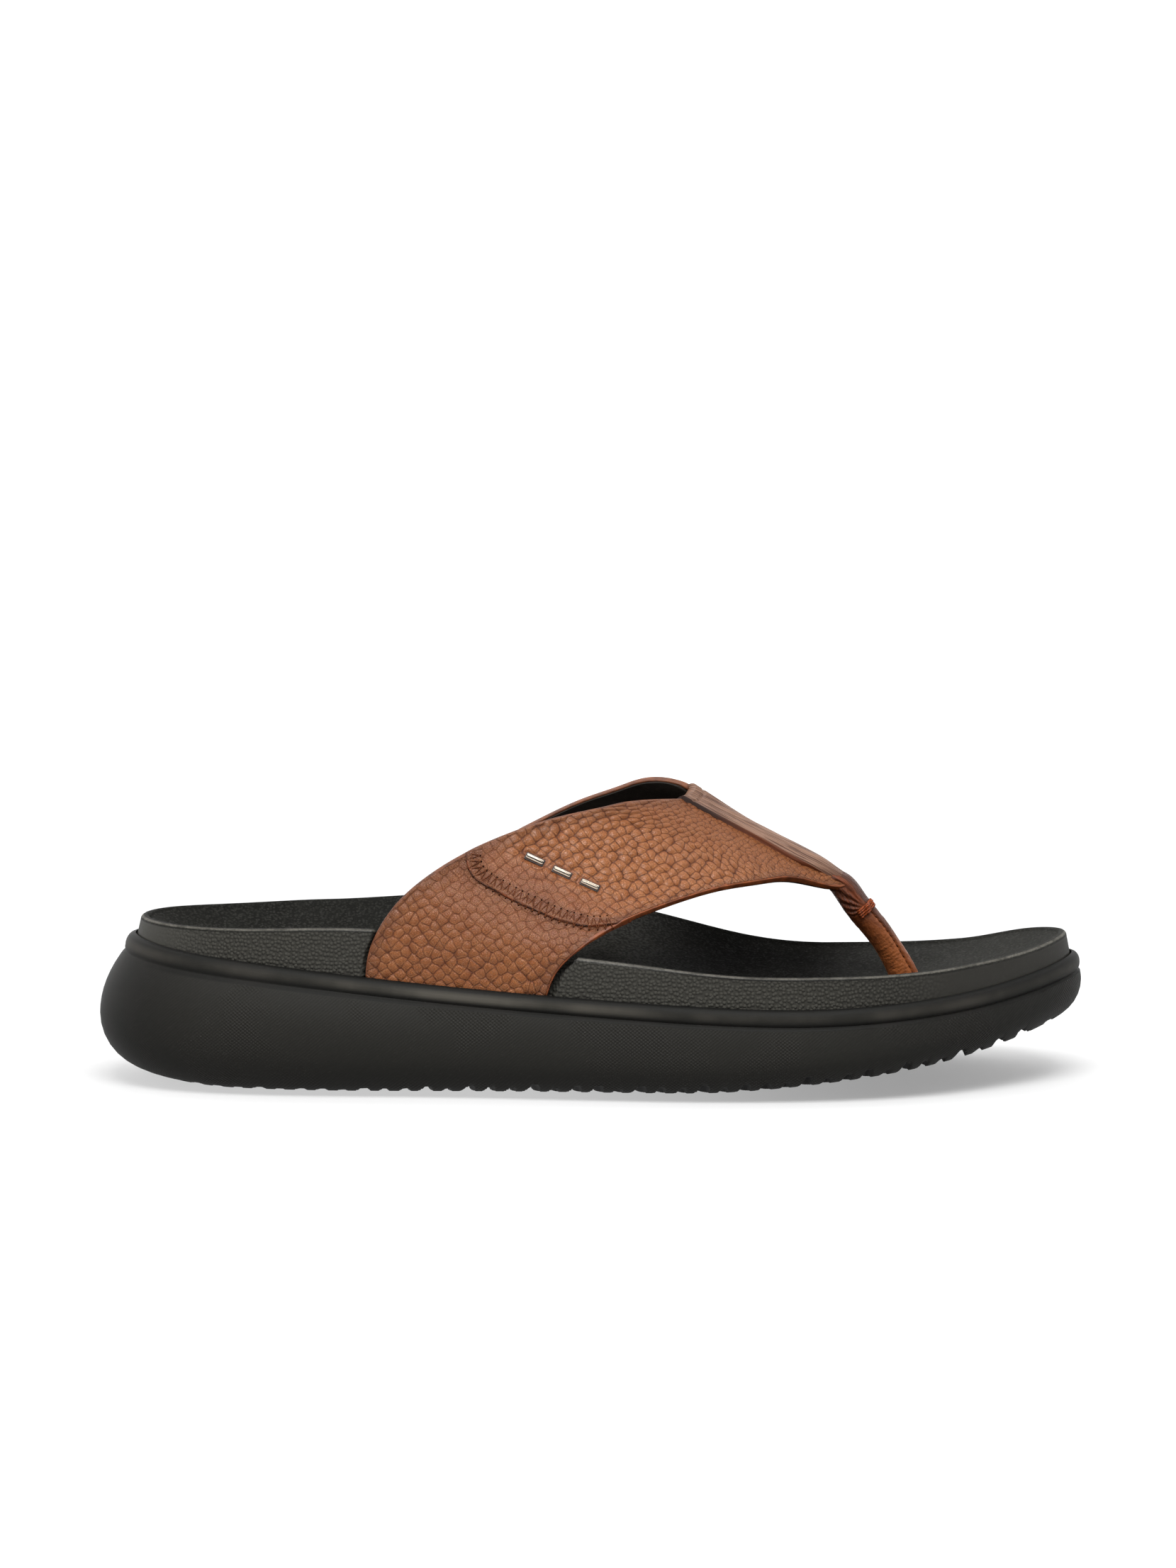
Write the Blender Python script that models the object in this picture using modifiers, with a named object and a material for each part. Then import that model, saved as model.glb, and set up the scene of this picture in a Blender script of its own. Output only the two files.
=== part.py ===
# Right-foot leather sandal with a toe post: moulded sole, dished footbed, two straps
# joined over the instep, ridge strip, toe post and three metal bars.
# X runs from heel to toe, Y from the outer to the inner side of the foot, Z is up.

import math

import bmesh
import bpy
import numpy as np
from mathutils import Matrix, Vector

MM = 0.001

# Driving sizes
SOLE_LENGTH = 290 * MM
SOLE_WIDTH = 108 * MM
CLEARANCE = 0.3 * MM

# Sole wall, rim band and seat
HEEL_FLARE = 7.2 * MM
TOE_FLARE = 0.4 * MM
FLARE_POWER = 1.6
BAND_HEIGHT = 5.2 * MM
BAND_LEAN = 0.15
RIM_WIDTH = 2.4 * MM
SEAT_DEPTH = 3.0 * MM

# Rocker of the tread
HEEL_LIFT = 5.5 * MM
HEEL_FLAT_START = 42 * MM
TOE_SPRING = 21 * MM
TOE_FLAT_END = 172 * MM

# Tread lugs
LUG_PITCH = 6.0 * MM
LUG_GROOVE = 2.6 * MM
LUG_GROOVE_FLOOR = 1.2 * MM
LUG_DEPTH = 1.8 * MM
LUG_WAVE = 2.2 * MM
LUG_WAVE_LENGTH = 54 * MM
LUG_FIRST = 14 * MM
LUG_LAST = 278 * MM

# Footbed
FOOTBED_DRAFT = 1.2 * MM
RIM_ROUND = 1.4 * MM
DISH_REACH = 24 * MM
ARCH_RISE = 9 * MM
ARCH_CENTRE = 142 * MM
ARCH_REACH = 75 * MM

# Upper
STRAP_WALL = 2.4 * MM
RIDGE_THROAT_ACROSS = 6 * MM
RIDGE_NECK_ACROSS = 10 * MM
STRIP_WIDTH_SHARE = 0.05
STRIP_START = 172.0 * MM
STRIP_END = 214.0 * MM
STRIP_WALL = 1.3 * MM

# Toe post
POST_HALF_DEPTH = 3.6 * MM
POST_HALF_WIDTH = 3.3 * MM

# Metal bars
BAR_LENGTH = 5.8 * MM
BAR_WIDTH = 1.9 * MM
BAR_HEIGHT = 1.1 * MM
BAR_ROUND = 0.35 * MM

# Resolution of the lofts
SIDE_STEPS = 48
CAP_STEPS = 2
DISH_STEPS = 12
STRAP_STEPS = 50
STRAP_WIDTH_STEPS = 8
POST_STEPS = 11
POST_SIDES = 18


def columns(names, rows):
    # Lengths are in millimetres; a column whose name ends in _share is a plain ratio.
    table = {}
    for place, name in enumerate(names.split()):
        scale = 1.0 if name.endswith("_share") else MM
        table[name] = np.array([row[place] for row in rows], float) * scale
    return table


# Plan of the sole at its widest, from the back of the heel along the outer side to the
# toe and back along the inner side, as shares of length and width.
OUTLINE = columns("along_share across_share", [
    (0.000, 0.020),
    (0.038, -0.240),
    (0.131, -0.365),
    (0.328, -0.412),
    (0.500, -0.468),
    (0.655, -0.500),
    (0.800, -0.449),
    (0.924, -0.250),
    (1.000, 0.075),
    (0.952, 0.333),
    (0.855, 0.463),
    (0.717, 0.500),
    (0.569, 0.435),
    (0.414, 0.375),
    (0.155, 0.361),
    (0.041, 0.250),
])

SOLE_STATIONS = columns("along top_edge tuck bulge_share", [
    (0, 43.3, 13.0, 0.46),
    (25, 40.6, 9.5, 0.47),
    (60, 37.0, 6.5, 0.48),
    (100, 32.8, 5.5, 0.48),
    (140, 30.0, 5.5, 0.48),
    (180, 27.9, 5.5, 0.50),
    (210, 27.3, 6.0, 0.54),
    (240, 28.7, 7.0, 0.60),
    (265, 31.4, 8.0, 0.68),
    (290, 36.4, 9.0, 0.78),
])

# Section of the rim band, from the groove under it to the inner edge of the rim.
BAND = columns("climb_share step_in", [
    (0.05, 1.0),
    (0.20, 0.1),
    (0.45, 0.0),
    (0.72, 0.3),
    (0.92, 1.0),
    (1.00, 2.4),
])

FOOTBED_STATIONS = columns("along rim floor", [
    (8, 48.4, 41.5),
    (40, 48.2, 39.6),
    (80, 48.8, 39.6),
    (110, 45.6, 38.6),
    (139, 41.0, 36.0),
    (163, 37.7, 33.2),
    (189, 35.2, 31.0),
    (213, 34.9, 30.6),
    (240, 35.4, 31.3),
    (265, 37.8, 33.6),
    (288, 42.2, 37.6),
])

# Outer strap from the anchor to the instep ridge: its rear edge, round the throat, and
# its front edge. Reach is 0 on the footbed wall and 1 on the ridge.
OUTER_STRAP = columns("strap_share rear_along rear_reach_share rear_height "
                      "front_along front_reach_share front_height", [
    (0.00, 79.5, 0.000, 32.4, 131.0, 0.000, 27.9),
    (0.10, 80.3, 0.004, 41.0, 132.3, 0.006, 36.0),
    (0.20, 83.5, 0.040, 49.0, 137.0, 0.025, 41.8),
    (0.30, 89.0, 0.110, 56.6, 144.0, 0.085, 46.4),
    (0.40, 97.0, 0.200, 63.4, 153.0, 0.190, 50.1),
    (0.50, 108.0, 0.310, 69.9, 163.0, 0.320, 53.3),
    (0.60, 121.0, 0.435, 75.2, 174.0, 0.460, 56.2),
    (0.70, 135.0, 0.570, 79.2, 185.0, 0.590, 58.2),
    (0.80, 149.0, 0.695, 81.6, 196.0, 0.715, 59.2),
    (0.90, 162.0, 0.835, 82.7, 206.0, 0.840, 59.3),
    (0.95, 168.5, 0.915, 82.6, 213.0, 0.915, 58.4),
])

RIDGE = columns("strap_share rear_along rear_reach_share rear_height "
                "front_along front_reach_share front_height", [
    (1.00, 173.5, 1.000, 82.9, 217.5, 1.000, 61.0),
])

# Inner strap, from the anchor to the ridge.
INNER_STRAP = columns("strap_share rear_along rear_reach_share rear_height "
                      "front_along front_reach_share front_height", [
    (0.00, 95.0, 0.000, 30.8, 147.0, 0.000, 26.9),
    (0.10, 95.8, 0.002, 42.0, 148.0, 0.002, 38.5),
    (0.20, 98.5, 0.022, 50.6, 151.0, 0.008, 46.5),
    (0.30, 104.0, 0.080, 58.2, 156.5, 0.040, 51.8),
    (0.40, 112.0, 0.170, 64.2, 163.5, 0.125, 55.0),
    (0.50, 122.0, 0.275, 69.6, 172.0, 0.255, 57.0),
    (0.60, 132.5, 0.400, 75.3, 181.0, 0.405, 58.4),
    (0.70, 143.0, 0.530, 80.4, 190.0, 0.555, 59.2),
    (0.80, 154.0, 0.680, 84.7, 199.0, 0.700, 59.4),
    (0.90, 164.5, 0.850, 87.4, 207.5, 0.830, 59.2),
    (0.95, 169.7, 0.925, 86.7, 213.5, 0.910, 58.6),
])

POST_PATH = columns("along across height", [
    (215.7, 9.8, 57.3),
    (223.2, 10.2, 50.4),
    (229.3, 11.0, 43.0),
    (233.8, 11.8, 36.4),
    (237.2, 12.4, 30.6),
    (238.6, 12.6, 28.4),
])

# Bars on the outer strap: place along the strap and across it.
BARS = columns("strap_share width_share", [
    (0.546, 0.271),
    (0.531, 0.451),
    (0.516, 0.632),
])


def spline(knots, values, at):
    # Smooth curve through the rows of a table.
    knots = np.asarray(knots, float)
    values = np.asarray(values, float)
    at = np.atleast_1d(np.asarray(at, float))
    gap = np.diff(knots)
    slope = np.diff(values, axis=0) / gap[:, None]
    system = np.eye(len(knots))
    right = np.zeros_like(values)
    for row in range(1, len(knots) - 1):
        system[row, row - 1] = gap[row - 1]
        system[row, row] = 2 * (gap[row - 1] + gap[row])
        system[row, row + 1] = gap[row]
        right[row] = 6 * (slope[row] - slope[row - 1])
    bend = np.linalg.solve(system, right)
    span = np.clip(np.searchsorted(knots, at, side="right") - 1, 0, len(knots) - 2)
    width = gap[span][:, None]
    before = (at - knots[span])[:, None]
    after = width - before
    cubic = (bend[span] * after ** 3 + bend[span + 1] * before ** 3) / (6 * width)
    line = (values[span] / width - bend[span] * width / 6) * after
    line += (values[span + 1] / width - bend[span + 1] * width / 6) * before
    return cubic + line


def read(table, name, along):
    key = list(table)[0]
    flat = np.ravel(along)
    found = spline(table[key], table[name][:, None], flat)[:, 0]
    return found.reshape(np.shape(along))


def smoothstep(low, high, value):
    share = np.clip((value - low) / (high - low), 0, 1)
    return share * share * (3 - 2 * share)


def plan_outline(steps):
    # Equal steps along each side, so that outer and inner points come in pairs.
    knots = np.stack([OUTLINE["along_share"], OUTLINE["across_share"]], axis=1)
    size = len(knots)
    looped = np.concatenate([knots[-4:], knots, knots[:5]])
    metric = looped * [SOLE_LENGTH, SOLE_WIDTH]
    chord = np.concatenate([[0], np.cumsum(np.linalg.norm(np.diff(metric, axis=0), axis=1))])
    fine = np.linspace(chord[4], chord[4 + size], 4001)
    curve = spline(chord, metric, fine)
    low = curve.min(axis=0)
    high = curve.max(axis=0)
    curve = (curve - low) / (high - low) * [SOLE_LENGTH, SOLE_WIDTH]
    curve[:, 1] -= SOLE_WIDTH / 2
    heel = int(np.argmin(curve[:-1, 0]))
    curve = np.roll(curve[:-1], -heel, axis=0)
    curve = np.concatenate([curve, curve[:1]])
    toe = int(np.argmax(curve[:, 0]))
    sides = []
    for part in (curve[:toe + 1], curve[toe:]):
        length = np.concatenate([[0], np.cumsum(np.linalg.norm(np.diff(part, axis=0), axis=1))])
        even = np.linspace(0, length[-1], steps + 1)[:-1]
        sides.append(np.stack([np.interp(even, length, part[:, axis]) for axis in (0, 1)], axis=1))
    return np.concatenate(sides)


def inward(curve):
    ahead = np.roll(curve, -1, axis=0) - np.roll(curve, 1, axis=0)
    ahead /= np.linalg.norm(ahead, axis=1)[:, None]
    return np.stack([-ahead[:, 1], ahead[:, 0]], axis=1)


PLAN = plan_outline(SIDE_STEPS)
PLAN_INWARD = inward(PLAN)


def flare(along):
    left = np.clip(1 - along / SOLE_LENGTH, 0, 1)
    return TOE_FLARE + (HEEL_FLARE - TOE_FLARE) * left ** FLARE_POWER


def tread_height(along):
    heel = np.clip((HEEL_FLAT_START - along) / HEEL_FLAT_START, 0, None)
    toe = np.clip((along - TOE_FLAT_END) / (SOLE_LENGTH - TOE_FLAT_END), 0, None)
    return HEEL_LIFT * heel ** 2 + TOE_SPRING * toe ** 2


def top_edge(along):
    return read(SOLE_STATIONS, "top_edge", along)


def seat_height(along):
    return top_edge(along) - SEAT_DEPTH


def seat_inset(along):
    return flare(along) * (1 + BAND_LEAN) + RIM_WIDTH


def wall_inset(along):
    return seat_inset(along) + CLEARANCE


def ring(inset, height):
    # A closed loop at a distance inside the plan; height may vary along it.
    flat = PLAN + PLAN_INWARD * np.broadcast_to(inset, len(PLAN))[:, None]
    return np.column_stack([flat, np.broadcast_to(height, len(PLAN))])


def ladder(loop, steps, height):
    # Rows of points from the outer to the inner side of a loop, at the given height.
    half = len(loop) // 2
    share = np.linspace(0, 1, steps + 1)[1:-1, None]
    rows = []
    for row in range(1, half):
        line = loop[row] + (loop[-row] - loop[row]) * share
        line[:, 2] = height(line[:, 0], line[:, 1])
        rows.append(line)
    return rows


def new_object(name, verts, faces, group, material):
    mesh = bpy.data.meshes.new(name)
    mesh.from_pydata([tuple(point) for point in verts], [], faces)
    mesh.update()
    shape = bpy.data.objects.new(name, mesh)
    group.objects.link(shape)
    if material:
        mesh.materials.append(material)
    return shape


def to_frame(points):
    moved = np.array(points, float)
    moved[:, 0] -= SOLE_LENGTH / 2
    return moved


def cap_faces(first_loop, rows, start, up):
    # Quads between neighbouring rows, closed with triangles at heel and toe.
    count = len(first_loop)
    width = rows[0].shape[0]
    lines = []
    for place in range(len(rows)):
        inner = [start + place * width + step for step in range(width)]
        lines.append([first_loop[place + 1]] + inner + [first_loop[count - 1 - place]])
    faces = []
    for near, far in zip(lines[:-1], lines[1:]):
        for step in range(width + 1):
            faces.append((near[step], far[step], far[step + 1], near[step + 1]))
    heel = first_loop[0]
    toe = first_loop[count // 2]
    for step in range(width + 1):
        faces.append((heel, lines[0][step], lines[0][step + 1]))
        faces.append((toe, lines[-1][step + 1], lines[-1][step]))
    if not up:
        faces = [tuple(reversed(face)) for face in faces]
    return faces


def loft(name, loops, bottom_rows, top_rows, group, material):
    count = len(loops[0])
    verts = np.concatenate(loops)
    faces = []
    for level in range(len(loops) - 1):
        low = level * count
        for step in range(count):
            following = (step + 1) % count
            faces.append((low + step, low + following, low + count + following, low + count + step))
    start = len(verts)
    faces += cap_faces(list(range(count)), bottom_rows, start, up=False)
    verts = np.concatenate([verts] + bottom_rows)
    start_top = len(verts)
    last = (len(loops) - 1) * count
    faces += cap_faces(list(range(last, last + count)), top_rows, start_top, up=True)
    verts = np.concatenate([verts] + top_rows)
    return new_object(name, to_frame(verts), faces, group, material)


def sole_loops():
    along = PLAN[:, 0]
    tuck = read(SOLE_STATIONS, "tuck", along)
    share = read(SOLE_STATIONS, "bulge_share", along)
    band_foot = top_edge(along) - BAND_HEIGHT
    lean = flare(along)
    edge = ring(tuck, 0)
    low = tread_height(edge[:, 0])
    belly = low + (band_foot - low) * share
    loops = []
    for turn in np.radians((0, 25, 50, 72, 90)):
        loops.append(ring(tuck * (1 - math.sin(turn)), low + (belly - low) * (1 - math.cos(turn))))
    for climb in (0.55, 1.0):
        loops.append(ring(lean * climb ** 2, belly + (band_foot - belly) * climb))
    for step_in, climb in zip(BAND["step_in"], BAND["climb_share"]):
        loops.append(ring(lean * (1 + BAND_LEAN * climb) + step_in, band_foot + BAND_HEIGHT * climb))
    seat_edge = ring(seat_inset(along), 0)
    seat_edge[:, 2] = seat_height(seat_edge[:, 0])
    loops.append(seat_edge)
    return loops


def build_sole(group, material):
    loops = sole_loops()
    under = ladder(loops[0], CAP_STEPS, lambda x, y: tread_height(x))
    seat = ladder(loops[-1], CAP_STEPS, lambda x, y: seat_height(x))
    return loft("sole", loops, under, seat, group, material)


def build_lug_cutter(group):
    # One wavy wedge for each groove between two lugs.
    across = np.linspace(-0.56, 0.56, 9) * SOLE_WIDTH
    wave = LUG_WAVE * np.cos(2 * math.pi * across / LUG_WAVE_LENGTH)
    verts = []
    faces = []
    count = int((LUG_LAST - LUG_FIRST) / LUG_PITCH)
    for lug in range(count + 1):
        along = LUG_FIRST + lug * LUG_PITCH
        level = float(tread_height(np.array(along)))
        rise = float(tread_height(np.array(along + MM)) - tread_height(np.array(along - MM))) / (2 * MM)
        tilt = math.atan(rise)
        out = Vector((math.sin(tilt), 0, -math.cos(tilt)))
        ahead = Vector((math.cos(tilt), 0, math.sin(tilt)))
        flank = (LUG_GROOVE - LUG_GROOVE_FLOOR) / 2 / LUG_DEPTH
        below = 4 * MM
        section = (
            -ahead * (LUG_GROOVE / 2 + flank * below) + out * below,
            ahead * (LUG_GROOVE / 2 + flank * below) + out * below,
            ahead * (LUG_GROOVE_FLOOR / 2) - out * LUG_DEPTH,
            -ahead * (LUG_GROOVE_FLOOR / 2) - out * LUG_DEPTH,
        )
        start = len(verts)
        for place, shift in zip(across, wave):
            middle = Vector((along - SOLE_LENGTH / 2, place, level)) + ahead * shift
            verts += [middle + corner for corner in section]
        for step in range(len(across) - 1):
            near = start + 4 * step
            for side in range(4):
                after = (side + 1) % 4
                faces.append((near + side, near + 4 + side, near + 4 + after, near + after))
        last = start + 4 * (len(across) - 1)
        faces.append((start, start + 1, start + 2, start + 3))
        faces.append((last + 3, last + 2, last + 1, last))
    return new_object("lug_cutter", verts, faces, group, None)


def arch_lift(along, across):
    near = np.clip(np.abs(along - ARCH_CENTRE) / ARCH_REACH, 0, 1)
    inner = smoothstep(-0.05 * SOLE_WIDTH, 0.32 * SOLE_WIDTH, across)
    return ARCH_RISE * np.cos(near * math.pi / 2) ** 2 * inner


def rim_height(along, across):
    return read(FOOTBED_STATIONS, "rim", along) + arch_lift(along, across)


def build_footbed(group, material):
    along = PLAN[:, 0]
    wall = wall_inset(along)
    rim = rim_height(along, PLAN[:, 1])
    foot = ring(wall, 0)
    foot[:, 2] = seat_height(foot[:, 0]) + CLEARANCE
    loops = [foot]
    loops.append(ring(wall + 0.2 * FOOTBED_DRAFT, top_edge(along) + 0.5 * MM))
    loops.append(ring(wall + FOOTBED_DRAFT, rim - RIM_ROUND))
    loops.append(ring(wall + FOOTBED_DRAFT + 0.3 * RIM_ROUND, rim - 0.3 * RIM_ROUND))
    loops.append(ring(wall + FOOTBED_DRAFT + RIM_ROUND, rim))
    inner_rim = ring(wall + FOOTBED_DRAFT + 2 * RIM_ROUND, rim - 0.45 * RIM_ROUND)
    loops.append(inner_rim)

    def dish(x, y):
        spot = np.column_stack([x, y])
        apart = np.linalg.norm(spot[:, None, :] - inner_rim[None, :, :2], axis=2)
        nearest = apart.argmin(axis=1)
        share = np.clip(apart[np.arange(len(spot)), nearest] / DISH_REACH, 0, 1)
        floor = read(FOOTBED_STATIONS, "floor", x) + 0.35 * arch_lift(x, y)
        return floor + (inner_rim[nearest, 2] - floor) * (1 - share) ** 2.2

    under = ladder(loops[0], CAP_STEPS, lambda x, y: seat_height(x) + CLEARANCE)
    hollow = ladder(inner_rim, DISH_STEPS, dish)
    return loft("footbed", loops, under, hollow, group, material)


def wall_across(along, inner):
    # Y of the outside of the footbed wall on one side.
    edge = ring(wall_inset(PLAN[:, 0]), 0)
    half = len(edge) // 2
    side = edge[half:] if inner else edge[:half + 1]
    order = np.argsort(side[:, 0])
    return np.interp(along, side[order, 0], side[order, 1])


def ridge_across(along):
    rear = RIDGE["rear_along"][0]
    front = RIDGE["front_along"][0]
    share = (along - rear) / (front - rear)
    return RIDGE_THROAT_ACROSS + (RIDGE_NECK_ACROSS - RIDGE_THROAT_ACROSS) * share


def strap_edge(table, inner, edge):
    along = table[edge + "_along"]
    reach = table[edge + "_reach_share"]
    wall = wall_across(along, inner)
    across = wall + (ridge_across(along) - wall) * reach
    return np.stack([along, across, table[edge + "_height"], reach], axis=1)


def strap_rows(edge):
    outer = strap_edge(OUTER_STRAP, False, edge)
    ridge = strap_edge(RIDGE, False, edge)
    inner = strap_edge(INNER_STRAP, True, edge)
    return np.concatenate([outer, ridge, inner[::-1]])


STRAP_KNOTS = np.concatenate([
    OUTER_STRAP["strap_share"] - 1, RIDGE["strap_share"] - 1, 1 - INNER_STRAP["strap_share"][::-1]])
REAR_ROWS = strap_rows("rear")
FRONT_ROWS = strap_rows("front")


def strap_points(strap, width):
    # Outer face of the upper: strap runs from -1 at the outer anchor over 0 at the
    # ridge to 1 at the inner anchor, width from 0 at the rear to 1 at the front edge.
    rear = spline(STRAP_KNOTS, REAR_ROWS, strap)
    front = spline(STRAP_KNOTS, FRONT_ROWS, strap)
    share = np.asarray(width, float)[:, None]
    spot = rear + (front - rear) * share
    inner = np.asarray(strap) > 0
    wall = np.where(inner, wall_across(spot[:, 0], True), wall_across(spot[:, 0], False))
    rear_wall = np.where(inner, wall_across(rear[:, 0], True), wall_across(rear[:, 0], False))
    front_wall = np.where(inner, wall_across(front[:, 0], True), wall_across(front[:, 0], False))
    straight = rear_wall + (front_wall - rear_wall) * share[:, 0]
    spot[:, 1] += (wall - straight) * np.clip(1 - spot[:, 3], 0, 1)
    return spot[:, :3]


def strap_normals(strap, width):
    step = 1e-3
    along = strap_points(strap + step, width) - strap_points(strap - step, width)
    across = strap_points(strap, width + step) - strap_points(strap, width - step)
    normal = np.cross(across, along)
    return normal / np.linalg.norm(normal, axis=1)[:, None]


def strap_sheet(name, straps, widths, lift, group, material):
    # Widths has a row for each place along the strap.
    flat_strap = np.repeat(straps, widths.shape[1])
    flat_width = widths.ravel()
    verts = strap_points(flat_strap, flat_width)
    verts += strap_normals(flat_strap, flat_width) * lift
    count = widths.shape[1]
    faces = []
    for row in range(len(straps) - 1):
        for step in range(count - 1):
            near = row * count + step
            faces.append((near, near + 1, near + count + 1, near + count))
    return new_object(name, to_frame(verts), faces, group, material)


def solidify(shape, thickness, offset):
    wall = shape.modifiers.new("wall", "SOLIDIFY")
    wall.thickness = thickness
    wall.offset = offset
    wall.use_even_offset = True
    wall.use_quality_normals = True
    return wall


def strap_places(limit):
    # Closer rows near the ridge, where the sheet bends most.
    even = np.linspace(-1, 1, STRAP_STEPS + 1)
    return np.sign(even) * np.abs(even) ** 1.1 * limit


def cut(shape, cutter):
    step = shape.modifiers.new("cut_" + cutter.name, "BOOLEAN")
    step.operation = "DIFFERENCE"
    step.solver = "EXACT"
    step.object = cutter
    return step


def build_upper(group, material):
    straps = strap_places(1.0)
    widths = np.tile(np.linspace(0, 1, STRAP_WIDTH_STEPS + 1), (len(straps), 1))
    upper = strap_sheet("upper", straps, widths, 0, group, material)
    solidify(upper, STRAP_WALL, -1)
    return upper


def build_upper_cutter(group):
    # The upper with its clearance on every side.
    straps = strap_places(1.005)
    widths = np.tile(np.linspace(-0.008, 1.008, STRAP_WIDTH_STEPS + 1), (len(straps), 1))
    cutter = strap_sheet("upper_cutter", straps, widths, CLEARANCE, group, None)
    solidify(cutter, STRAP_WALL + 2 * CLEARANCE, -1)
    return cutter


def build_ridge_strip(group, material):
    straps = np.linspace(-STRIP_WIDTH_SHARE, STRIP_WIDTH_SHARE, 9)
    rear = spline(STRAP_KNOTS, REAR_ROWS, straps)[:, :1]
    front = spline(STRAP_KNOTS, FRONT_ROWS, straps)[:, :1]
    widths = (np.linspace(STRIP_START, STRIP_END, 13) - rear) / (front - rear)
    strip = strap_sheet("ridge_strip", straps, widths, CLEARANCE, group, material)
    solidify(strip, STRIP_WALL, 1)
    return strip


def build_tube(name, grow, deeper, group, material):
    # Oval tube along the toe post path.
    path = np.stack([POST_PATH["along"], POST_PATH["across"], POST_PATH["height"]], axis=1)
    length = np.concatenate([[0], np.cumsum(np.linalg.norm(np.diff(path, axis=0), axis=1))])
    places = np.linspace(0, length[-1] + deeper, POST_STEPS)
    middle = spline(length, path, places)
    ahead = spline(length, path, places + 0.1 * MM) - spline(length, path, places - 0.1 * MM)
    ahead /= np.linalg.norm(ahead, axis=1)[:, None]
    side = np.cross(ahead, [0, 0, 1])
    side /= np.linalg.norm(side, axis=1)[:, None]
    front = np.cross(side, ahead)
    around = np.linspace(0, 2 * math.pi, POST_SIDES + 1)[:-1]
    verts = []
    for spot, sideways, forward in zip(middle, side, front):
        for angle in around:
            wide = (POST_HALF_WIDTH + grow) * math.cos(angle)
            deep = (POST_HALF_DEPTH + grow) * math.sin(angle)
            verts.append(spot + sideways * wide + forward * deep)
    count = len(around)
    faces = [tuple(range(count))]
    for row in range(len(places) - 1):
        for step in range(count):
            near = row * count + step
            after = row * count + (step + 1) % count
            faces.append((near, near + count, after + count, after))
    faces.append(tuple(reversed(range(len(verts) - count, len(verts)))))
    return new_object(name, to_frame(verts), faces, group, material)


def build_bars(group, material):
    bars = []
    places = strap_points(BARS["strap_share"] - 1, BARS["width_share"])
    normals = strap_normals(BARS["strap_share"] - 1, BARS["width_share"])
    run = places[-1] - places[0]
    for number, (place, normal) in enumerate(zip(to_frame(places), normals), start=1):
        up = Vector(normal)
        ahead = (Vector(run) - up * up.dot(Vector(run))).normalized()
        side = up.cross(ahead)
        turn = Matrix((ahead, side, up)).transposed().to_4x4()
        middle = Vector(place) + up * (CLEARANCE + BAR_HEIGHT / 2)
        mesh = bpy.data.meshes.new("metal_bar_" + str(number))
        body = bmesh.new()
        bmesh.ops.create_cube(body, size=1.0)
        size = Matrix.Diagonal((BAR_LENGTH, BAR_WIDTH, BAR_HEIGHT, 1))
        bmesh.ops.transform(body, matrix=Matrix.Translation(middle) @ turn @ size, verts=body.verts)
        body.to_mesh(mesh)
        body.free()
        mesh.materials.append(material)
        bar = bpy.data.objects.new(mesh.name, mesh)
        group.objects.link(bar)
        bevel = bar.modifiers.new("round", "BEVEL")
        bevel.width = BAR_ROUND
        bevel.segments = 1
        bevel.limit_method = "ANGLE"
        bars.append(bar)
    return bars


def new_material(name, colour, roughness, metallic):
    material = bpy.data.materials.new(name)
    material.use_nodes = True
    shader = material.node_tree.nodes["Principled BSDF"]
    shader.inputs["Base Color"].default_value = (*colour, 1)
    shader.inputs["Roughness"].default_value = roughness
    shader.inputs["Metallic"].default_value = metallic
    return material


for old in list(bpy.data.objects):
    bpy.data.objects.remove(old, do_unlink=True)

parts = bpy.data.collections.new("leather_sandal")
cutters = bpy.data.collections.new("cutters")
bpy.context.scene.collection.children.link(parts)
bpy.context.scene.collection.children.link(cutters)

foam = new_material("black_foam", (0.02, 0.02, 0.02), 0.6, 0.0)
skin = new_material("footbed_skin", (0.025, 0.025, 0.025), 0.5, 0.0)
leather = new_material("brown_leather", (0.35, 0.15, 0.06), 0.5, 0.0)
strip_leather = new_material("strip_leather", (0.28, 0.13, 0.07), 0.5, 0.0)
post_leather = new_material("post_leather", (0.22, 0.08, 0.03), 0.45, 0.0)
metal = new_material("polished_metal", (0.7, 0.66, 0.58), 0.2, 1.0)

sole = build_sole(parts, foam)
footbed = build_footbed(parts, skin)
upper = build_upper(parts, leather)
strip = build_ridge_strip(parts, strip_leather)
post = build_tube("toe_post", 0, 0, parts, post_leather)
bars = build_bars(parts, metal)

lug_cutter = build_lug_cutter(cutters)
upper_cutter = build_upper_cutter(cutters)
post_cutter = build_tube("post_cutter", CLEARANCE, CLEARANCE, cutters, None)

cut(sole, lug_cutter)
cut(footbed, upper_cutter)
cut(footbed, post_cutter)

for cutter in cutters.objects:
    cutter.hide_render = True
    cutter.display_type = "WIRE"
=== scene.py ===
import math

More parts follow.
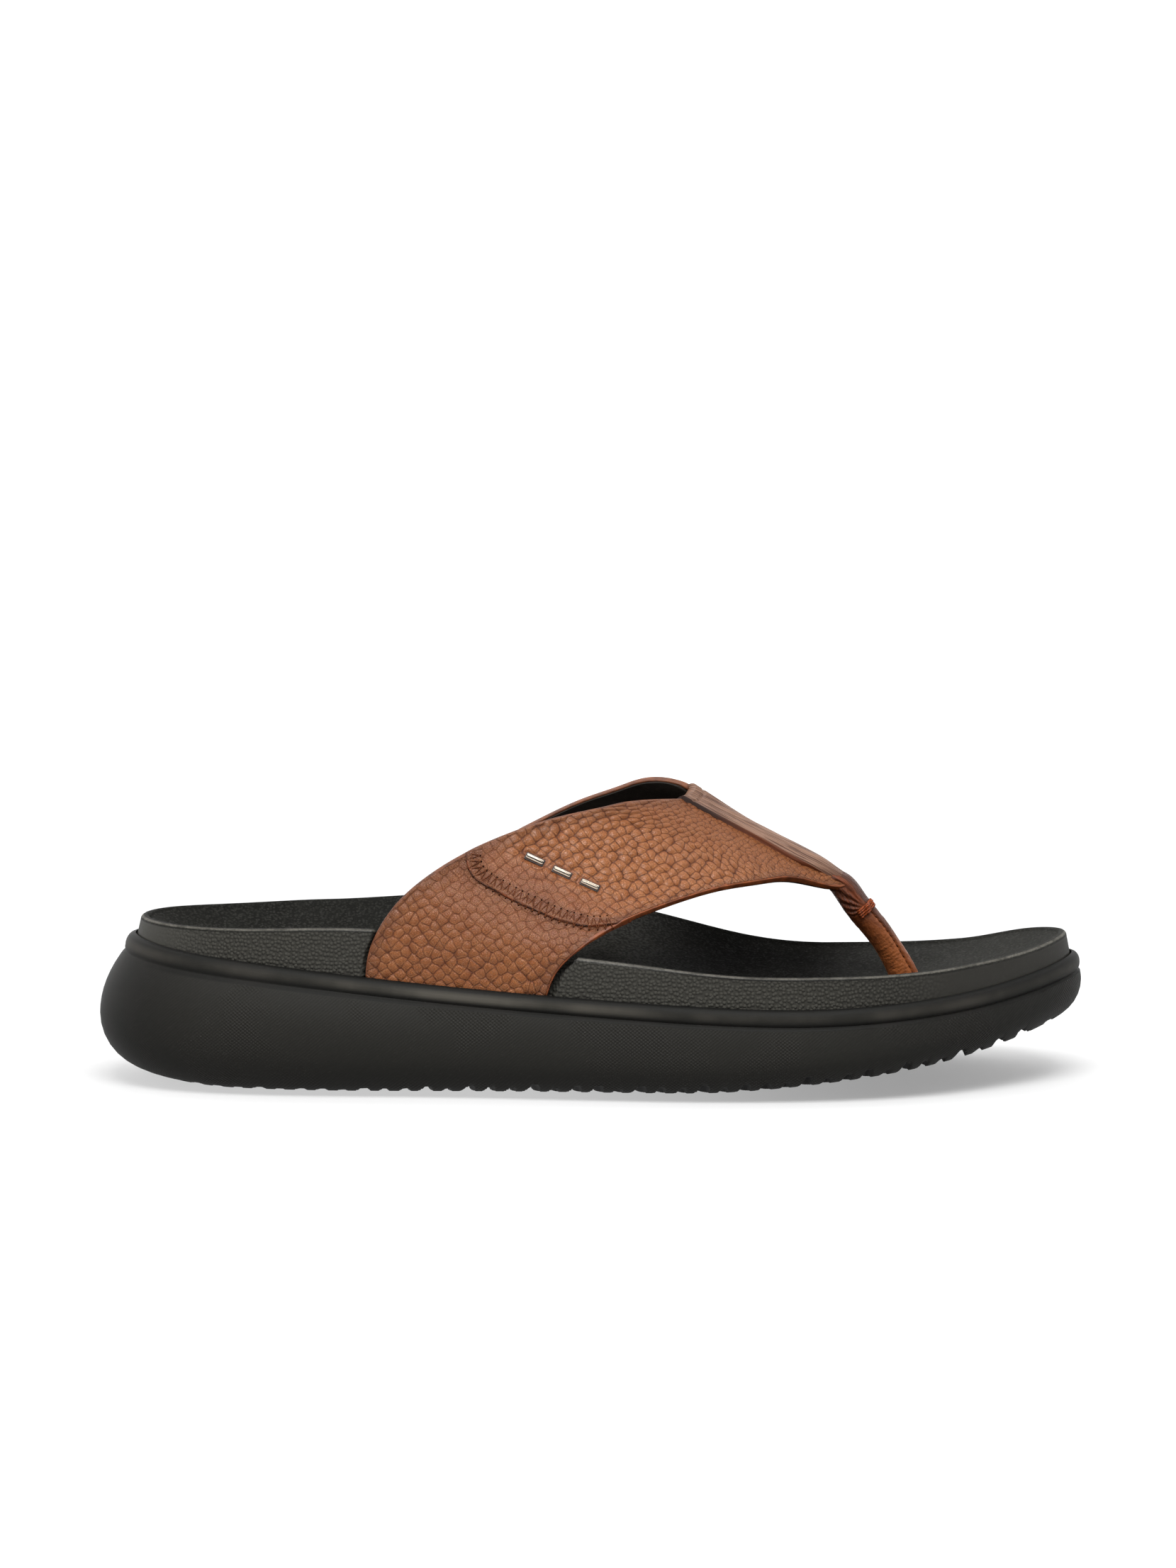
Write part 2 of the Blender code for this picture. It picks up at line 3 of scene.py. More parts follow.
import bpy
import numpy as np
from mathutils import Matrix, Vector


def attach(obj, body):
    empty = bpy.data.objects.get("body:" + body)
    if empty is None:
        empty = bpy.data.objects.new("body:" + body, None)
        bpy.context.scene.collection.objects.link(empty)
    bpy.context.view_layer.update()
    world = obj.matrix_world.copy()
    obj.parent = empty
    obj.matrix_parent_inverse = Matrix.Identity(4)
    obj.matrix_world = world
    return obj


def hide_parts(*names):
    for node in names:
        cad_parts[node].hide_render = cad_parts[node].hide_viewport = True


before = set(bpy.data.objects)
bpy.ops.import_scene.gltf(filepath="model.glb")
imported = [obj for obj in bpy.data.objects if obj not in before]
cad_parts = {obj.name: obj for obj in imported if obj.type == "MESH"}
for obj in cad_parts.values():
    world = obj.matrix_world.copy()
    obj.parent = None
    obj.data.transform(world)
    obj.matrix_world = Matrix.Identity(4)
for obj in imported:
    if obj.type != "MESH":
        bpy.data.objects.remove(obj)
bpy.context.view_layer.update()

# all sizes below are in millimetres, from the back of the heel; the mesh gets metres
mm = 0.001


# plain helpers


def tableOf(names, rows):
    columns = np.array(rows, float).T
    return dict(zip(names.split(), columns))


def distances(points):
    # length along a chain of points, from 0 at the first
    return np.concatenate([[0], np.cumsum(np.linalg.norm(np.diff(points, axis=0), axis=1))])


def spline(knots, values, at):
    # natural cubic through the rows of a table
    knots = np.asarray(knots, float)
    values = np.asarray(values, float)
    at = np.asarray(at, float)
    gap = np.diff(knots)
    slope = np.diff(values, axis=0) / gap[:, None]
    system = np.eye(len(knots))
    right = np.zeros_like(values)
    for row in range(1, len(knots) - 1):
        system[row, row - 1:row + 2] = gap[row - 1], 2 * (gap[row - 1] + gap[row]), gap[row]
        right[row] = 6 * (slope[row] - slope[row - 1])
    bend = np.linalg.solve(system, right)
    span = np.clip(np.searchsorted(knots, at, side="right") - 1, 0, len(knots) - 2)
    width = gap[span][..., None]
    before = (at - knots[span])[..., None]
    after = width - before
    cubic = (bend[span] * after ** 3 + bend[span + 1] * before ** 3) / (6 * width)
    line = (values[span] / width - bend[span] * width / 6) * after
    return cubic + line + (values[span + 1] / width - bend[span + 1] * width / 6) * before


def readTable(table, name, at):
    key = list(table)[0]
    return spline(table[key], table[name][:, None], at)[..., 0]


def smooth(low, high, value):
    share = np.clip((value - low) / (high - low), 0, 1)
    return share * share * (3 - 2 * share)


def unit(vectors):
    return vectors / np.linalg.norm(vectors, axis=-1, keepdims=True)


def softNoise(x, y, seed):
    # smooth value noise with a cell of 1, between -1 and 1
    size = 61
    lattice = np.random.default_rng(seed).random((size, size)) * 2 - 1
    left, low = np.floor(x).astype(int), np.floor(y).astype(int)
    across, up = smooth(0, 1, x - left), smooth(0, 1, y - low)
    corner = lambda i, j: lattice[(left + i) % size, (low + j) % size]
    near = corner(0, 0) * (1 - across) + corner(1, 0) * across
    far = corner(0, 1) * (1 - across) + corner(1, 1) * across
    return near * (1 - up) + far * up


def runLength(points, axis):
    # length along one direction of a grid of points
    step = np.linalg.norm(np.diff(points, axis=axis), axis=2)
    start = np.zeros_like(np.take(step, [0], axis=axis))
    return np.concatenate([start, np.cumsum(step, axis=axis)], axis=axis)


def unrolled(points, density):
    # flat coordinates of a strap: the middle line keeps its bends, the cross lines are laid straight
    middle = points.shape[1] // 2
    line = points[:, middle]
    ahead = unit(np.gradient(line, axis=0))
    across = unit(points[:, -1] - points[:, 0])
    side = unit(across - ahead * (across * ahead).sum(axis=1)[:, None])
    bend = (np.diff(ahead, axis=0) * (side[1:] + side[:-1]) / 2).sum(axis=1)
    heading = np.concatenate([[0], np.cumsum(bend)])
    weight = (density[1:, middle] + density[:-1, middle]) / 2
    step = np.linalg.norm(np.diff(line, axis=0), axis=1) * weight
    between = (heading[1:] + heading[:-1]) / 2
    u, v = (np.concatenate([[0], np.cumsum(step * wave(between))]) for wave in (np.cos, np.sin))
    lean = heading + np.arctan2((across * side).sum(axis=1), (across * ahead).sum(axis=1))
    apart = runLength(points, 1)
    apart = (apart - apart[:, middle:middle + 1]) * density
    return u[:, None] + apart * np.cos(lean)[:, None], v[:, None] + apart * np.sin(lean)[:, None]


def edgeSteps(count, tight):
    # steps from 0 to 1 that lie closer together at both ends
    even = np.linspace(0, 1, count + 1)
    return even - tight * np.sin(2 * math.pi * even) / (2 * math.pi)


def gridFaces(index, closed=False):
    # quads over a table of vertex numbers; closed joins the last column to the first
    if closed:
        index = np.concatenate([index, index[:, :1]], axis=1)
    corners = [index[:-1, :-1], index[:-1, 1:], index[1:, 1:], index[1:, :-1]]
    return np.stack(corners, axis=-1).reshape(-1, 4)


def placedPoints(points):
    # millimetres from the heel to metres from the middle of the shoe
    return (np.asarray(points, float) - [soleSpec["length"] / 2, 0, 0]) * mm


def newMesh(name, points, quads, tris=()):
    quads = np.asarray(quads, int).reshape(-1, 4)
    tris = np.asarray(tris, int).reshape(-1, 3)
    placed = placedPoints(points)
    # a closed mesh with a negative volume has its faces turned outward
    fans = np.concatenate([quads[:, :3], quads[:, [0, 2, 3]], tris])
    first, second, third = (placed[fans[:, corner]] for corner in range(3))
    if (first * np.cross(second, third)).sum() < 0:
        quads, tris = quads[:, ::-1], tris[:, ::-1]
    corners = np.concatenate([quads.ravel(), tris.ravel()])
    starts = np.concatenate([np.arange(len(quads)) * 4, len(quads) * 4 + np.arange(len(tris)) * 3])
    mesh = bpy.data.meshes.new(name)
    mesh.vertices.add(len(placed))
    mesh.vertices.foreach_set("co", placed.astype(np.float32).ravel())
    mesh.loops.add(len(corners))
    mesh.loops.foreach_set("vertex_index", corners.astype(np.int32))
    mesh.polygons.add(len(starts))
    mesh.polygons.foreach_set("loop_start", starts.astype(np.int32))
    mesh.update(calc_edges=True)
    mesh.validate()
    mesh.shade_smooth()
    return mesh


def newPiece(name, mesh, material, stands=(), *, sharp):
    mesh.set_sharp_from_angle(angle=math.radians(sharp))
    mesh.materials.clear()
    mesh.materials.append(material)
    piece = bpy.data.objects.new(name, mesh)
    bpy.context.scene.collection.objects.link(piece)
    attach(piece, "root")
    if stands:
        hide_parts(*stands)
    return piece


def keepValues(mesh, name, values):
    # stores a number or a vector on each vertex
    values = np.asarray(values, np.float32)
    kind = "FLOAT_VECTOR" if values.ndim == 2 else "FLOAT"
    layer = mesh.attributes.new(name, kind, "POINT")
    layer.data.foreach_set("vector" if values.ndim == 2 else "value", values.ravel())


def sheetFaces(rows, cols):
    # a closed sheet: outer grid, inner grid behind it, and the rim between them
    count = rows * cols
    index = np.arange(count).reshape(rows, cols)
    face = gridFaces(index)
    loop = np.concatenate([index[0, :-1], index[:-1, -1], index[-1, :0:-1], index[:0:-1, 0]])
    after = np.roll(loop, -1)
    rim = np.stack([after, loop, loop + count, after + count], axis=1)
    return np.concatenate([face, face[:, ::-1] + count, rim])


def sheetPoints(outer, inner):
    return np.concatenate([outer.reshape(-1, 3), inner.reshape(-1, 3)])


# node wiring


class Flow:
    # one socket of a node tree; plain arithmetic on it adds Math nodes
    def __init__(self, tree, socket=None):
        self.tree = tree
        self.socket = socket

    def add(self, kind, settings=None, values=None, out=0):
        made = self.tree.nodes.new(kind)
        for name, value in (settings or {}).items():
            setattr(made, name, value)
        for name, value in (values or {}).items():
            if isinstance(value, Flow):
                self.tree.links.new(value.socket, made.inputs[name])
            else:
                made.inputs[name].default_value = value
        return Flow(self.tree, made.outputs[out])

    def maths(self, operation, other, flip=False):
        first, second = (other, self) if flip else (self, other)
        return self.add("ShaderNodeMath", {"operation": operation}, {0: first, 1: second})

    def __add__(self, other):
        return self.maths("ADD", other)

    def __sub__(self, other):
        return self.maths("SUBTRACT", other)

    def __rsub__(self, other):
        return self.maths("SUBTRACT", other, flip=True)

    def __mul__(self, other):
        return self.maths("MULTIPLY", other)

    def __truediv__(self, other):
        return self.maths("DIVIDE", other)

    def __pow__(self, other):
        return self.maths("POWER", other)

    __radd__ = __add__
    __rmul__ = __mul__

    def scaled(self, factor):
        return self.add("ShaderNodeVectorMath", {"operation": "SCALE"}, {0: self, "Scale": factor})

    def moved(self, other):
        return self.add("ShaderNodeVectorMath", {"operation": "ADD"}, {0: self, 1: other})

    def axis(self, number):
        # one number of a vector
        return self.add("ShaderNodeSeparateXYZ", {}, {0: self}, out=number)

    def stretched(self, *scale):
        # coordinates for a pattern that is drawn out along one axis
        return self.add("ShaderNodeMapping", {}, {"Vector": self, "Scale": scale})

    def mixed(self, colour, amount):
        # this colour, with another laid over it
        return blended(self, amount, self, colour)

    def ranged(self, low, high, first=0.0, last=1.0):
        values = {"Value": self, "From Min": low, "From Max": high, "To Min": first, "To Max": last}
        return self.add("ShaderNodeMapRange", {"interpolation_type": "SMOOTHSTEP"}, values)


def paint(red, green, blue):
    # screen colour 0-255 to the linear colour that a shader takes
    curve = lambda c: c / 12.92 if c <= 0.04045 else ((c + 0.055) / 1.055) ** 2.4
    return tuple(curve(c / 255) for c in (red, green, blue)) + (1.0,)


def paints(tones):
    # a dictionary of screen colours as shader colours
    return {name: paint(*tone) for name, tone in tones.items()}


def newMaterial(name, **fixed):
    material = bpy.data.materials.new(name)
    material.use_nodes = True
    shader = material.node_tree.nodes["Principled BSDF"]
    for key, value in fixed.items():
        shader.inputs[key.replace("_", " ")].default_value = value
    return material, shader, Flow(material.node_tree)


def wire(shader, **flows):
    for name, flow in flows.items():
        flow.tree.links.new(flow.socket, shader.inputs[name.replace("_", " ")])


def blended(flow, amount, first, second):
    # sockets 6 and 7 of a Mix node are its two colours, 2 is the result
    return flow.add("ShaderNodeMix", {"data_type": "RGBA"}, {0: amount, 6: first, 7: second}, out=2)


def objectPlace(flow):
    # object coordinates in millimetres
    return flow.add("ShaderNodeTexCoord", out=3).scaled(1000.0)


def stored(flow, name, out=2):
    # 1 is the stored vector, 2 the stored number
    return flow.add("ShaderNodeAttribute", {"attribute_name": name}, out=out)


def noise(flow, place, scale, detail):
    return flow.add("ShaderNodeTexNoise", {}, {"Vector": place, "Scale": scale, "Detail": detail})


def cells(flow, place, scale, feature="DISTANCE_TO_EDGE", flat=True, random=0.9):
    settings = {"feature": feature, "voronoi_dimensions": "2D" if flat else "3D"}
    values = {"Vector": place, "Scale": scale, "Randomness": random}
    return flow.add("ShaderNodeTexVoronoi", settings, values)


def domes(flow, place, scale, reach, flat=True, random=0.9):
    # round tops, 1 in the middle of a cell and 0 from reach outward
    apart = cells(flow, place, scale, "F1", flat, random) / reach
    return 1 - apart.maths("MINIMUM", 1.0) ** 2.0


def bumped(flow, height, distance, strength, under=None):
    values = {"Height": height, "Distance": distance * mm, "Strength": strength}
    if under:
        values["Normal"] = under
    return flow.add("ShaderNodeBump", {}, values)


def newTree(name, floats):
    # a tree with geometry, named sizes and a material as inputs
    tree = bpy.data.node_groups.new(name, "GeometryNodeTree")
    tree.interface.new_socket("Geometry", in_out="INPUT", socket_type="NodeSocketGeometry")
    for label in floats:
        tree.interface.new_socket(label, in_out="INPUT", socket_type="NodeSocketFloat")
    tree.interface.new_socket("Finish", in_out="INPUT", socket_type="NodeSocketMaterial")
    tree.interface.new_socket("Geometry", in_out="OUTPUT", socket_type="NodeSocketGeometry")
    entry = tree.nodes.new("NodeGroupInput")
    return tree, Flow(tree), lambda label: Flow(tree, entry.outputs[label])


def closeTree(tree, flow, shape, finish):
    leave = tree.nodes.new("NodeGroupOutput")
    whole = flow.add("GeometryNodeRealizeInstances", {}, {"Geometry": shape})
    done = flow.add("GeometryNodeSetMaterial", {}, {"Geometry": whole, "Material": finish})
    tree.links.new(done.socket, leave.inputs[0])
    return tree


def kept(flow, name, kind="FLOAT_VECTOR"):
    # values stored on the mesh, read inside a tree
    return flow.add("GeometryNodeInputNamedAttribute", {"data_type": kind}, {"Name": name})


def settle(mesh, tree, **inputs):
    # runs a node tree on a mesh and gives back the plain result
    holder = bpy.data.objects.new("holder", mesh)
    bpy.context.scene.collection.objects.link(holder)
    step = holder.modifiers.new("make", "NODES")
    step.node_group = tree
    names = {item.name: item.identifier for item in tree.interface.items_tree if item.in_out == "INPUT"}
    for name, value in inputs.items():
        step[names[name.replace("_", " ")]] = value
    graph = bpy.context.evaluated_depsgraph_get()
    made = holder.evaluated_get(graph)
    result = bpy.data.meshes.new_from_object(made, preserve_all_data_layers=True, depsgraph=graph)
    bpy.data.objects.remove(holder)
    return result


# sizes that the sole, footbed and straps share

soleSpec = {
    "length": 290.0, "width": 108.0,
    "heelFlare": 7.2, "toeFlare": 0.4, "flarePower": 1.6,
    "bandHeight": 5.2, "bandLean": 0.15, "rimWidth": 2.4, "seatDepth": 3.0,
    "heelLift": 5.5, "heelFlat": 42.0, "toeSpring": 21.0, "toeFlat": 172.0,
    "lugPitch": 6.0, "lugGroove": 2.6, "lugFloor": 1.2, "lugDepth": 1.8,
    "lugWave": 2.2, "lugWaveLength": 54.0, "lugFirst": 14.0, "lugLast": 278.0,
    "sideSteps": 760, "treadSteps": 44, "liftPower": 3.0,
    "lugMouth": 1.65,      # groove ends at the wall, in widths of the groove
    "lugLevels": 9,        # rings of the wall that the groove ends cut into
    "lugVary": 0.25, "lugBeat": 2.4,
    "endAlong": [0, 70, 115, 160, 215, 250, 290],
    "endDepth": [0.35, 0.5, 1.25, 1.45, 1.7, 1.9, 1.9],
    "underTurns": [0, 10, 18, 26, 34, 44, 55, 67, 79, 90], "wallLevels": 7,
    "knurlFrom": 18.0, "knurlFull": 60.0,
    "sheenRise": (45.0, 90.0), "sheenFall": (125.0, 180.0), "sheenLeast": 0.35, "sheenMore": 0.6,
    "sharp": 38.0,
}
gap = 0.3                  # clearance between pieces

# shares of the length and the width
outline = tableOf("along across", [
    (0.000, 0.020), (0.038, -0.240), (0.131, -0.365), (0.328, -0.412), (0.500, -0.468), (0.655, -0.500),
    (0.800, -0.449), (0.924, -0.250), (1.000, 0.075), (0.952, 0.333), (0.855, 0.463), (0.717, 0.500),
    (0.569, 0.435), (0.414, 0.375), (0.155, 0.361), (0.041, 0.250),
])

# lift is how far the tread rises towards its edge
soleStations = tableOf("along top tuck bulge lift", [
    (0, 43.3, 15.0, 0.46, 1.5), (25, 40.6, 13.5, 0.47, 1.3), (60, 37.0, 12.0, 0.48, 1.0),
    (100, 32.8, 11.5, 0.48, 1.1), (140, 30.0, 11.5, 0.48, 1.6), (180, 27.9, 12.0, 0.50, 1.8),
    (210, 27.3, 12.0, 0.54, 2.1), (240, 28.7, 12.0, 0.60, 1.0), (265, 31.4, 11.0, 0.68, 0.0),
    (290, 36.4, 10.0, 0.78, 0.0),
])


def planOutline(steps):
    # equal steps from heel to toe along the outer side, and back along the inner side
    size = [soleSpec["length"], soleSpec["width"]]
    knots = np.stack([outline["along"], outline["across"]], axis=1)
    lap = 4                # knots repeated before the first, and one more after the last
    looped = np.concatenate([knots[-lap:], knots, knots[:lap + 1]]) * size
    chord = distances(looped)
    curve = spline(chord, looped, np.linspace(chord[lap], chord[lap + len(knots)], 8001))
    low, high = curve.min(axis=0), curve.max(axis=0)
    curve = (curve - low) / (high - low) * size - [0, size[1] / 2]
    curve = np.roll(curve[:-1], -int(np.argmin(curve[:-1, 0])), axis=0)
    curve = np.concatenate([curve, curve[:1]])
    toe = int(np.argmax(curve[:, 0]))
    sides = []
    for part in (curve[:toe + 1], curve[toe:]):
        length = distances(part)
        even = np.linspace(0, length[-1], steps + 1)[:-1]
        sides.append(np.stack([np.interp(even, length, part[:, axis]) for axis in (0, 1)], axis=1))
    return np.concatenate(sides)


plan = planOutline(soleSpec["sideSteps"])
planAhead = unit(np.roll(plan, -1, axis=0) - np.roll(plan, 1, axis=0))
planInward = np.stack([-planAhead[:, 1], planAhead[:, 0]], axis=1)
planRun = distances(plan)


def flareAt(along):
    spec = soleSpec
    left = np.clip(1 - along / spec["length"], 0, 1)
    return spec["toeFlare"] + (spec["heelFlare"] - spec["toeFlare"]) * left ** spec["flarePower"]


def treadAt(along):
    heel = np.clip(1 - along / soleSpec["heelFlat"], 0, None)
    toe = np.clip((along - soleSpec["toeFlat"]) / (soleSpec["length"] - soleSpec["toeFlat"]), 0, None)
    return soleSpec["heelLift"] * heel ** 2 + soleSpec["toeSpring"] * toe ** 2


def liftAt(along):
    return readTable(soleStations, "lift", along)


def topAt(along):
    return readTable(soleStations, "top", along)


def seatAt(along):
    # height of the bed in the sole that the footbed lies on
    return topAt(along) - soleSpec["seatDepth"]


def seatInset(along):
    return flareAt(along) * (1 + soleSpec["bandLean"]) + soleSpec["rimWidth"]


def wallInset(along):
    return seatInset(along) + gap


def ringAt(inset, height):
    flat = plan + planInward * np.broadcast_to(inset, len(plan))[:, None]
    return np.column_stack([flat, np.broadcast_to(height, len(plan))])


def ladderAt(loop, steps, height):
    # rows of points from the outer to the inner side of a loop
    half = len(loop) // 2
    share = np.linspace(0, 1, steps + 1)[1:-1, None]
    near, far = loop[1:half, None, :], loop[:half:-1, None, :]
    lines = near + (far - near) * share
    lines[..., 2] = height(lines[..., 0], lines[..., 1])
    return lines


def capFaces(loop, lines, start, up):
    # quads between the rows of a ladder, with triangles at heel and toe
    count = len(loop)
    rows, width = lines.shape[:2]
    inner = start + np.arange(rows * width).reshape(rows, width)
    table = np.column_stack([loop[1:rows + 1], inner, loop[:count - rows - 1:-1]])
    quads = gridFaces(table)[:, ::-1]
    heel, toe = loop[0], loop[count // 2]
    tris = [(heel, table[0, k], table[0, k + 1]) for k in range(width + 1)]
    tris += [(toe, table[-1, k + 1], table[-1, k]) for k in range(width + 1)]
    if not up:
        quads = quads[:, ::-1]
        tris = [face[::-1] for face in tris]
    return quads, tris


def loftMesh(name, loops, under, over):
    # rings joined into a wall and closed by a ladder below and one above
    count, levels = len(loops[0]), len(loops)
    index = np.arange(count * levels).reshape(levels, count)
    wall = gridFaces(index, closed=True)
    start = count * levels
    lowQuads, lowTris = capFaces(index[0], under, start, up=False)
    start += under.shape[0] * under.shape[1]
    highQuads, highTris = capFaces(index[-1], over, start, up=True)
    points = np.concatenate([np.concatenate(loops), under.reshape(-1, 3), over.reshape(-1, 3)])
    return newMesh(name, points, np.concatenate([wall, lowQuads, highQuads]), lowTris + highTris)


def keepWall(mesh, name, values):
    # stores values given for the rings of a wall; the points below and above it get 0
    values = values.reshape(-1, 3) if values.ndim == 3 else values.ravel()
    filled = np.zeros((len(mesh.vertices),) + values.shape[1:])
    filled[:len(values)] = values
    keepValues(mesh, name, filled)


def keepWallPlace(mesh, heights):
    # flat coordinates of a wall: the way round it and the height
    run = np.broadcast_to(planRun, heights.shape)
    keepWall(mesh, "wallPlace", np.stack([run, heights, 0 * heights], axis=-1))


def fromHeel():
    # the way round to the back of the heel, the shorter of the two
    return np.minimum(planRun, planRun[-1] - planRun)


# sole: tread with cross grooves, bulging wall, groove and rim band

# section of the groove and the band: share of the band's height, and millimetres inward
bandProfile = tableOf("climb stepIn", [
    (-0.16, 0.00), (-0.08, 0.10), (-0.02, 0.45), (0.02, 0.85), (0.06, 1.00), (0.11, 0.75), (0.18, 0.30),
    (0.28, 0.08), (0.42, 0.00), (0.58, 0.08), (0.72, 0.30), (0.83, 0.60), (0.92, 1.05), (0.975, 1.65),
    (1.00, 2.40),
])


def grooveCeiling(along, across, wider=1.0):
    # height of the groove floor above the tread plane, 0 on the lugs
    spec = soleSpec
    wave = spec["lugWave"] * np.cos(2 * math.pi * across / spec["lugWaveLength"])
    place = (along - wave - spec["lugFirst"]) / spec["lugPitch"]
    last = math.floor((spec["lugLast"] - spec["lugFirst"]) / spec["lugPitch"])
    index = np.clip(np.round(place), 0, last)
    off = np.abs(place - index) * spec["lugPitch"]
    # no two grooves are quite alike
    change = 1 + spec["lugVary"] * np.sin(spec["lugBeat"] * index)
    groove = spec["lugGroove"] * wider * change
    flank = (groove - spec["lugFloor"]) / 2
    return spec["lugDepth"] * change * smooth(0, 1, (groove / 2 - off) / flank)


def cutGrooves(points, base, edge=1.0):
    # edge runs from 0 in the middle of the tread to 1 at the ends of the lugs
    endDepth = np.interp(points[..., 0], soleSpec["endAlong"], soleSpec["endDepth"])
    deeper = 1 + (endDepth - 1) * edge
    wider = 1 + (soleSpec["lugMouth"] - 1) * edge
    cut = grooveCeiling(points[..., 0], points[..., 1], wider) * deeper
    points[..., 2] = np.where(cut > 0, np.maximum(points[..., 2], base + cut), points[..., 2])
    return points


def buildSole(material):
    spec = soleSpec
    along = plan[:, 0]
    tuck = readTable(soleStations, "tuck", along)
    share = readTable(soleStations, "bulge", along)
    bandFoot = topAt(along) - spec["bandHeight"]
    lean = flareAt(along)
    foot = ringAt(tuck, 0)[:, 0]
    low = treadAt(foot) + liftAt(foot)
    belly = low + (bandFoot - low) * share
    loops = []
    for turn in np.radians(spec["underTurns"]):
        height = low + (belly - low) * (1 - math.cos(turn))
        loops.append(ringAt(tuck * (1 - math.sin(turn)), height))
    for climb in np.linspace(0.12, 0.92, spec["wallLevels"]):
        loops.append(ringAt(lean * climb ** 2, belly + (bandFoot - belly) * climb))
    wallTop = len(loops)
    # the groove under the band is shallower at the heel
    shallow = 0.3 + 0.4 * smooth(30, 130, along)
    for climb, stepIn in zip(*bandProfile.values()):
        rise = np.minimum(climb, 0) * spec["bandHeight"] / np.maximum(bandFoot - belly, 1)
        leanHere = lean * np.where(climb < 0, (1 + rise) ** 2, 1 + spec["bandLean"] * climb)
        stepHere = stepIn * shallow if climb < 0.25 else stepIn
        loops.append(ringAt(leanHere + stepHere, bandFoot + spec["bandHeight"] * climb))
    loops.append(ringAt(seatInset(along), 0))
    loops[-1][:, 2] = seatAt(loops[-1][:, 0])
    heights = np.array([loop[:, 2] for loop in loops])
    # the tread is flat in the middle and rises towards its edge
    fromMiddle = np.abs(np.linspace(-1, 1, spec["treadSteps"] + 1)[1:-1]) ** spec["liftPower"]
    under = ladderAt(loops[0], spec["treadSteps"], lambda x, y: treadAt(x) + liftAt(x) * fromMiddle)
    under = cutGrooves(under, under[..., 2], fromMiddle)
    for level in range(spec["lugLevels"]):
        loops[level] = cutGrooves(loops[level], low)
    seat = ladderAt(loops[-1], 4, lambda x, y: seatAt(x))
    mesh = loftMesh("sole_unit", loops, under, seat)
    keepWallPlace(mesh, heights)
    # fine ridges cover the wall, but not the heel end
    knurl, bandSheen, paintedShade = (np.zeros(heights.shape) for mask in range(3))
    knurl[3:wallTop] = smooth(spec["knurlFrom"], spec["knurlFull"], fromHeel())
    # painted highlight along the middle of the band; painted shade along its upper edge, where it meets the
    # footbed, and low on the wall where it turns under
    change = smooth(*spec["sheenRise"], along) - smooth(*spec["sheenFall"], along)
    paintedSheen = spec["sheenLeast"] + spec["sheenMore"] * change
    bandSheen[-9:-5] = np.array([[0.4], [1.0], [1.0], [0.5]]) * paintedSheen
    paintedShade[-4:] = [[0.3], [0.8], [1.0], [1.0]]
    paintedShade[:8] = np.linspace(0.75, 0.1, 8)[:, None]
    for name, mask in (("knurl", knurl), ("bandSheen", bandSheen), ("paintedShade", paintedShade)):
        keepWall(mesh, name, mask)
    print("sole:", len(mesh.polygons), "faces")
    return newPiece("sole_unit", mesh, material, ["sole"], sharp=spec["sharp"])


foamTones = {
    "base": (18, 18, 16), "paleBase": (24, 23, 21), "speck": (42, 41, 38), "knurl": (35, 34, 31),
    "toe": (13, 13, 12), "bandSheen": (72, 69, 63), "paintedShade": (9, 9, 8),
}


def foamMaterial():
    material, shader, flow = newMaterial("black_foam", Specular_IOR_Level=0.09)
    tone = paints(foamTones)
    place = objectPlace(flow)
    wall = stored(flow, "wallPlace", out=1)
    knurl = stored(flow, "knurl")
    cloud = noise(flow, place, 0.045, 3.0)
    speck = noise(flow, place, 2.6, 2.0)
    # two fine families of slanting ridges cross on the wall
    ridges = []
    bands = {"wave_type": "BANDS", "bands_direction": "X", "wave_profile": "SIN"}
    for slant in (0.9, -0.9):
        turned = flow.add("ShaderNodeMapping", {}, {"Vector": wall, "Rotation": (0, 0, slant)})
        values = {"Vector": turned, "Scale": 0.40, "Distortion": 0.0}
        ridges.append(flow.add("ShaderNodeTexWave", bands, values))
    hatch = (ridges[0] + ridges[1] * cloud.ranged(0.45, 0.6)) * knurl
    patch = cloud.ranged(0.42, 0.62)
    colour = blended(flow, cloud.ranged(0.35, 0.7), tone["base"], tone["paleBase"])
    colour = colour.mixed(tone["speck"], speck.ranged(0.66, 0.8) * 0.3)
    # painted sheen: paler where the wall is knurled, so the smooth heel end stays darker as painted shade
    colour = colour.mixed(tone["knurl"], knurl * 0.6)
    # darker towards the toe
    colour = colour.mixed(tone["toe"], place.axis(0).ranged(60.0, 130.0) * 0.4)
    # painted highlight along the middle of the band
    paintedSheen = stored(flow, "bandSheen") * (0.3 + cloud.ranged(0.35, 0.65) * 0.5)
    colour = colour.mixed(tone["bandSheen"], paintedSheen)
    # painted shade at the band's upper edge and low on the wall
    colour = colour.mixed(tone["paintedShade"], stored(flow, "paintedShade") * 0.85)
    roughness = 0.52 + cloud * 0.12 + speck * 0.08
    fine = bumped(flow, speck, 0.05, 0.5)
    normal = bumped(flow, hatch * (0.35 + patch * 0.65), 0.12, 0.8, fine)
    wire(shader, Base_Color=colour, Roughness=roughness, Normal=normal)
    return material


# footbed: dished top, rim, side wall with notches for the straps

footbedSpec = {
    "draft": 1.2, "rimRound": 1.4, "dishReach": 24.0, "dishPower": 2.2, "dishSteps": 56,
    "archRise": 9.0, "archCentre": 142.0, "archReach": 75.0,
    "notchPlay": 0.5, "notchSlope": 1.6, "notchLow": 2.9, "notchHigh": 4.7, "notchDrop": 1.2,
    "wallRows": 12, "rimTurns": [22, 45, 68, 90, 112, 135, 155], "rimLean": 0.029,
    "postDip": 2.4, "postReach": 22.0, "postSpot": (236.0, 12.2),
    "beadFrom": 22.0, "beadFull": 60.0, "smoothFrom": 228.0, "smoothFull": 256.0,
    "sharp": 50.0,
}

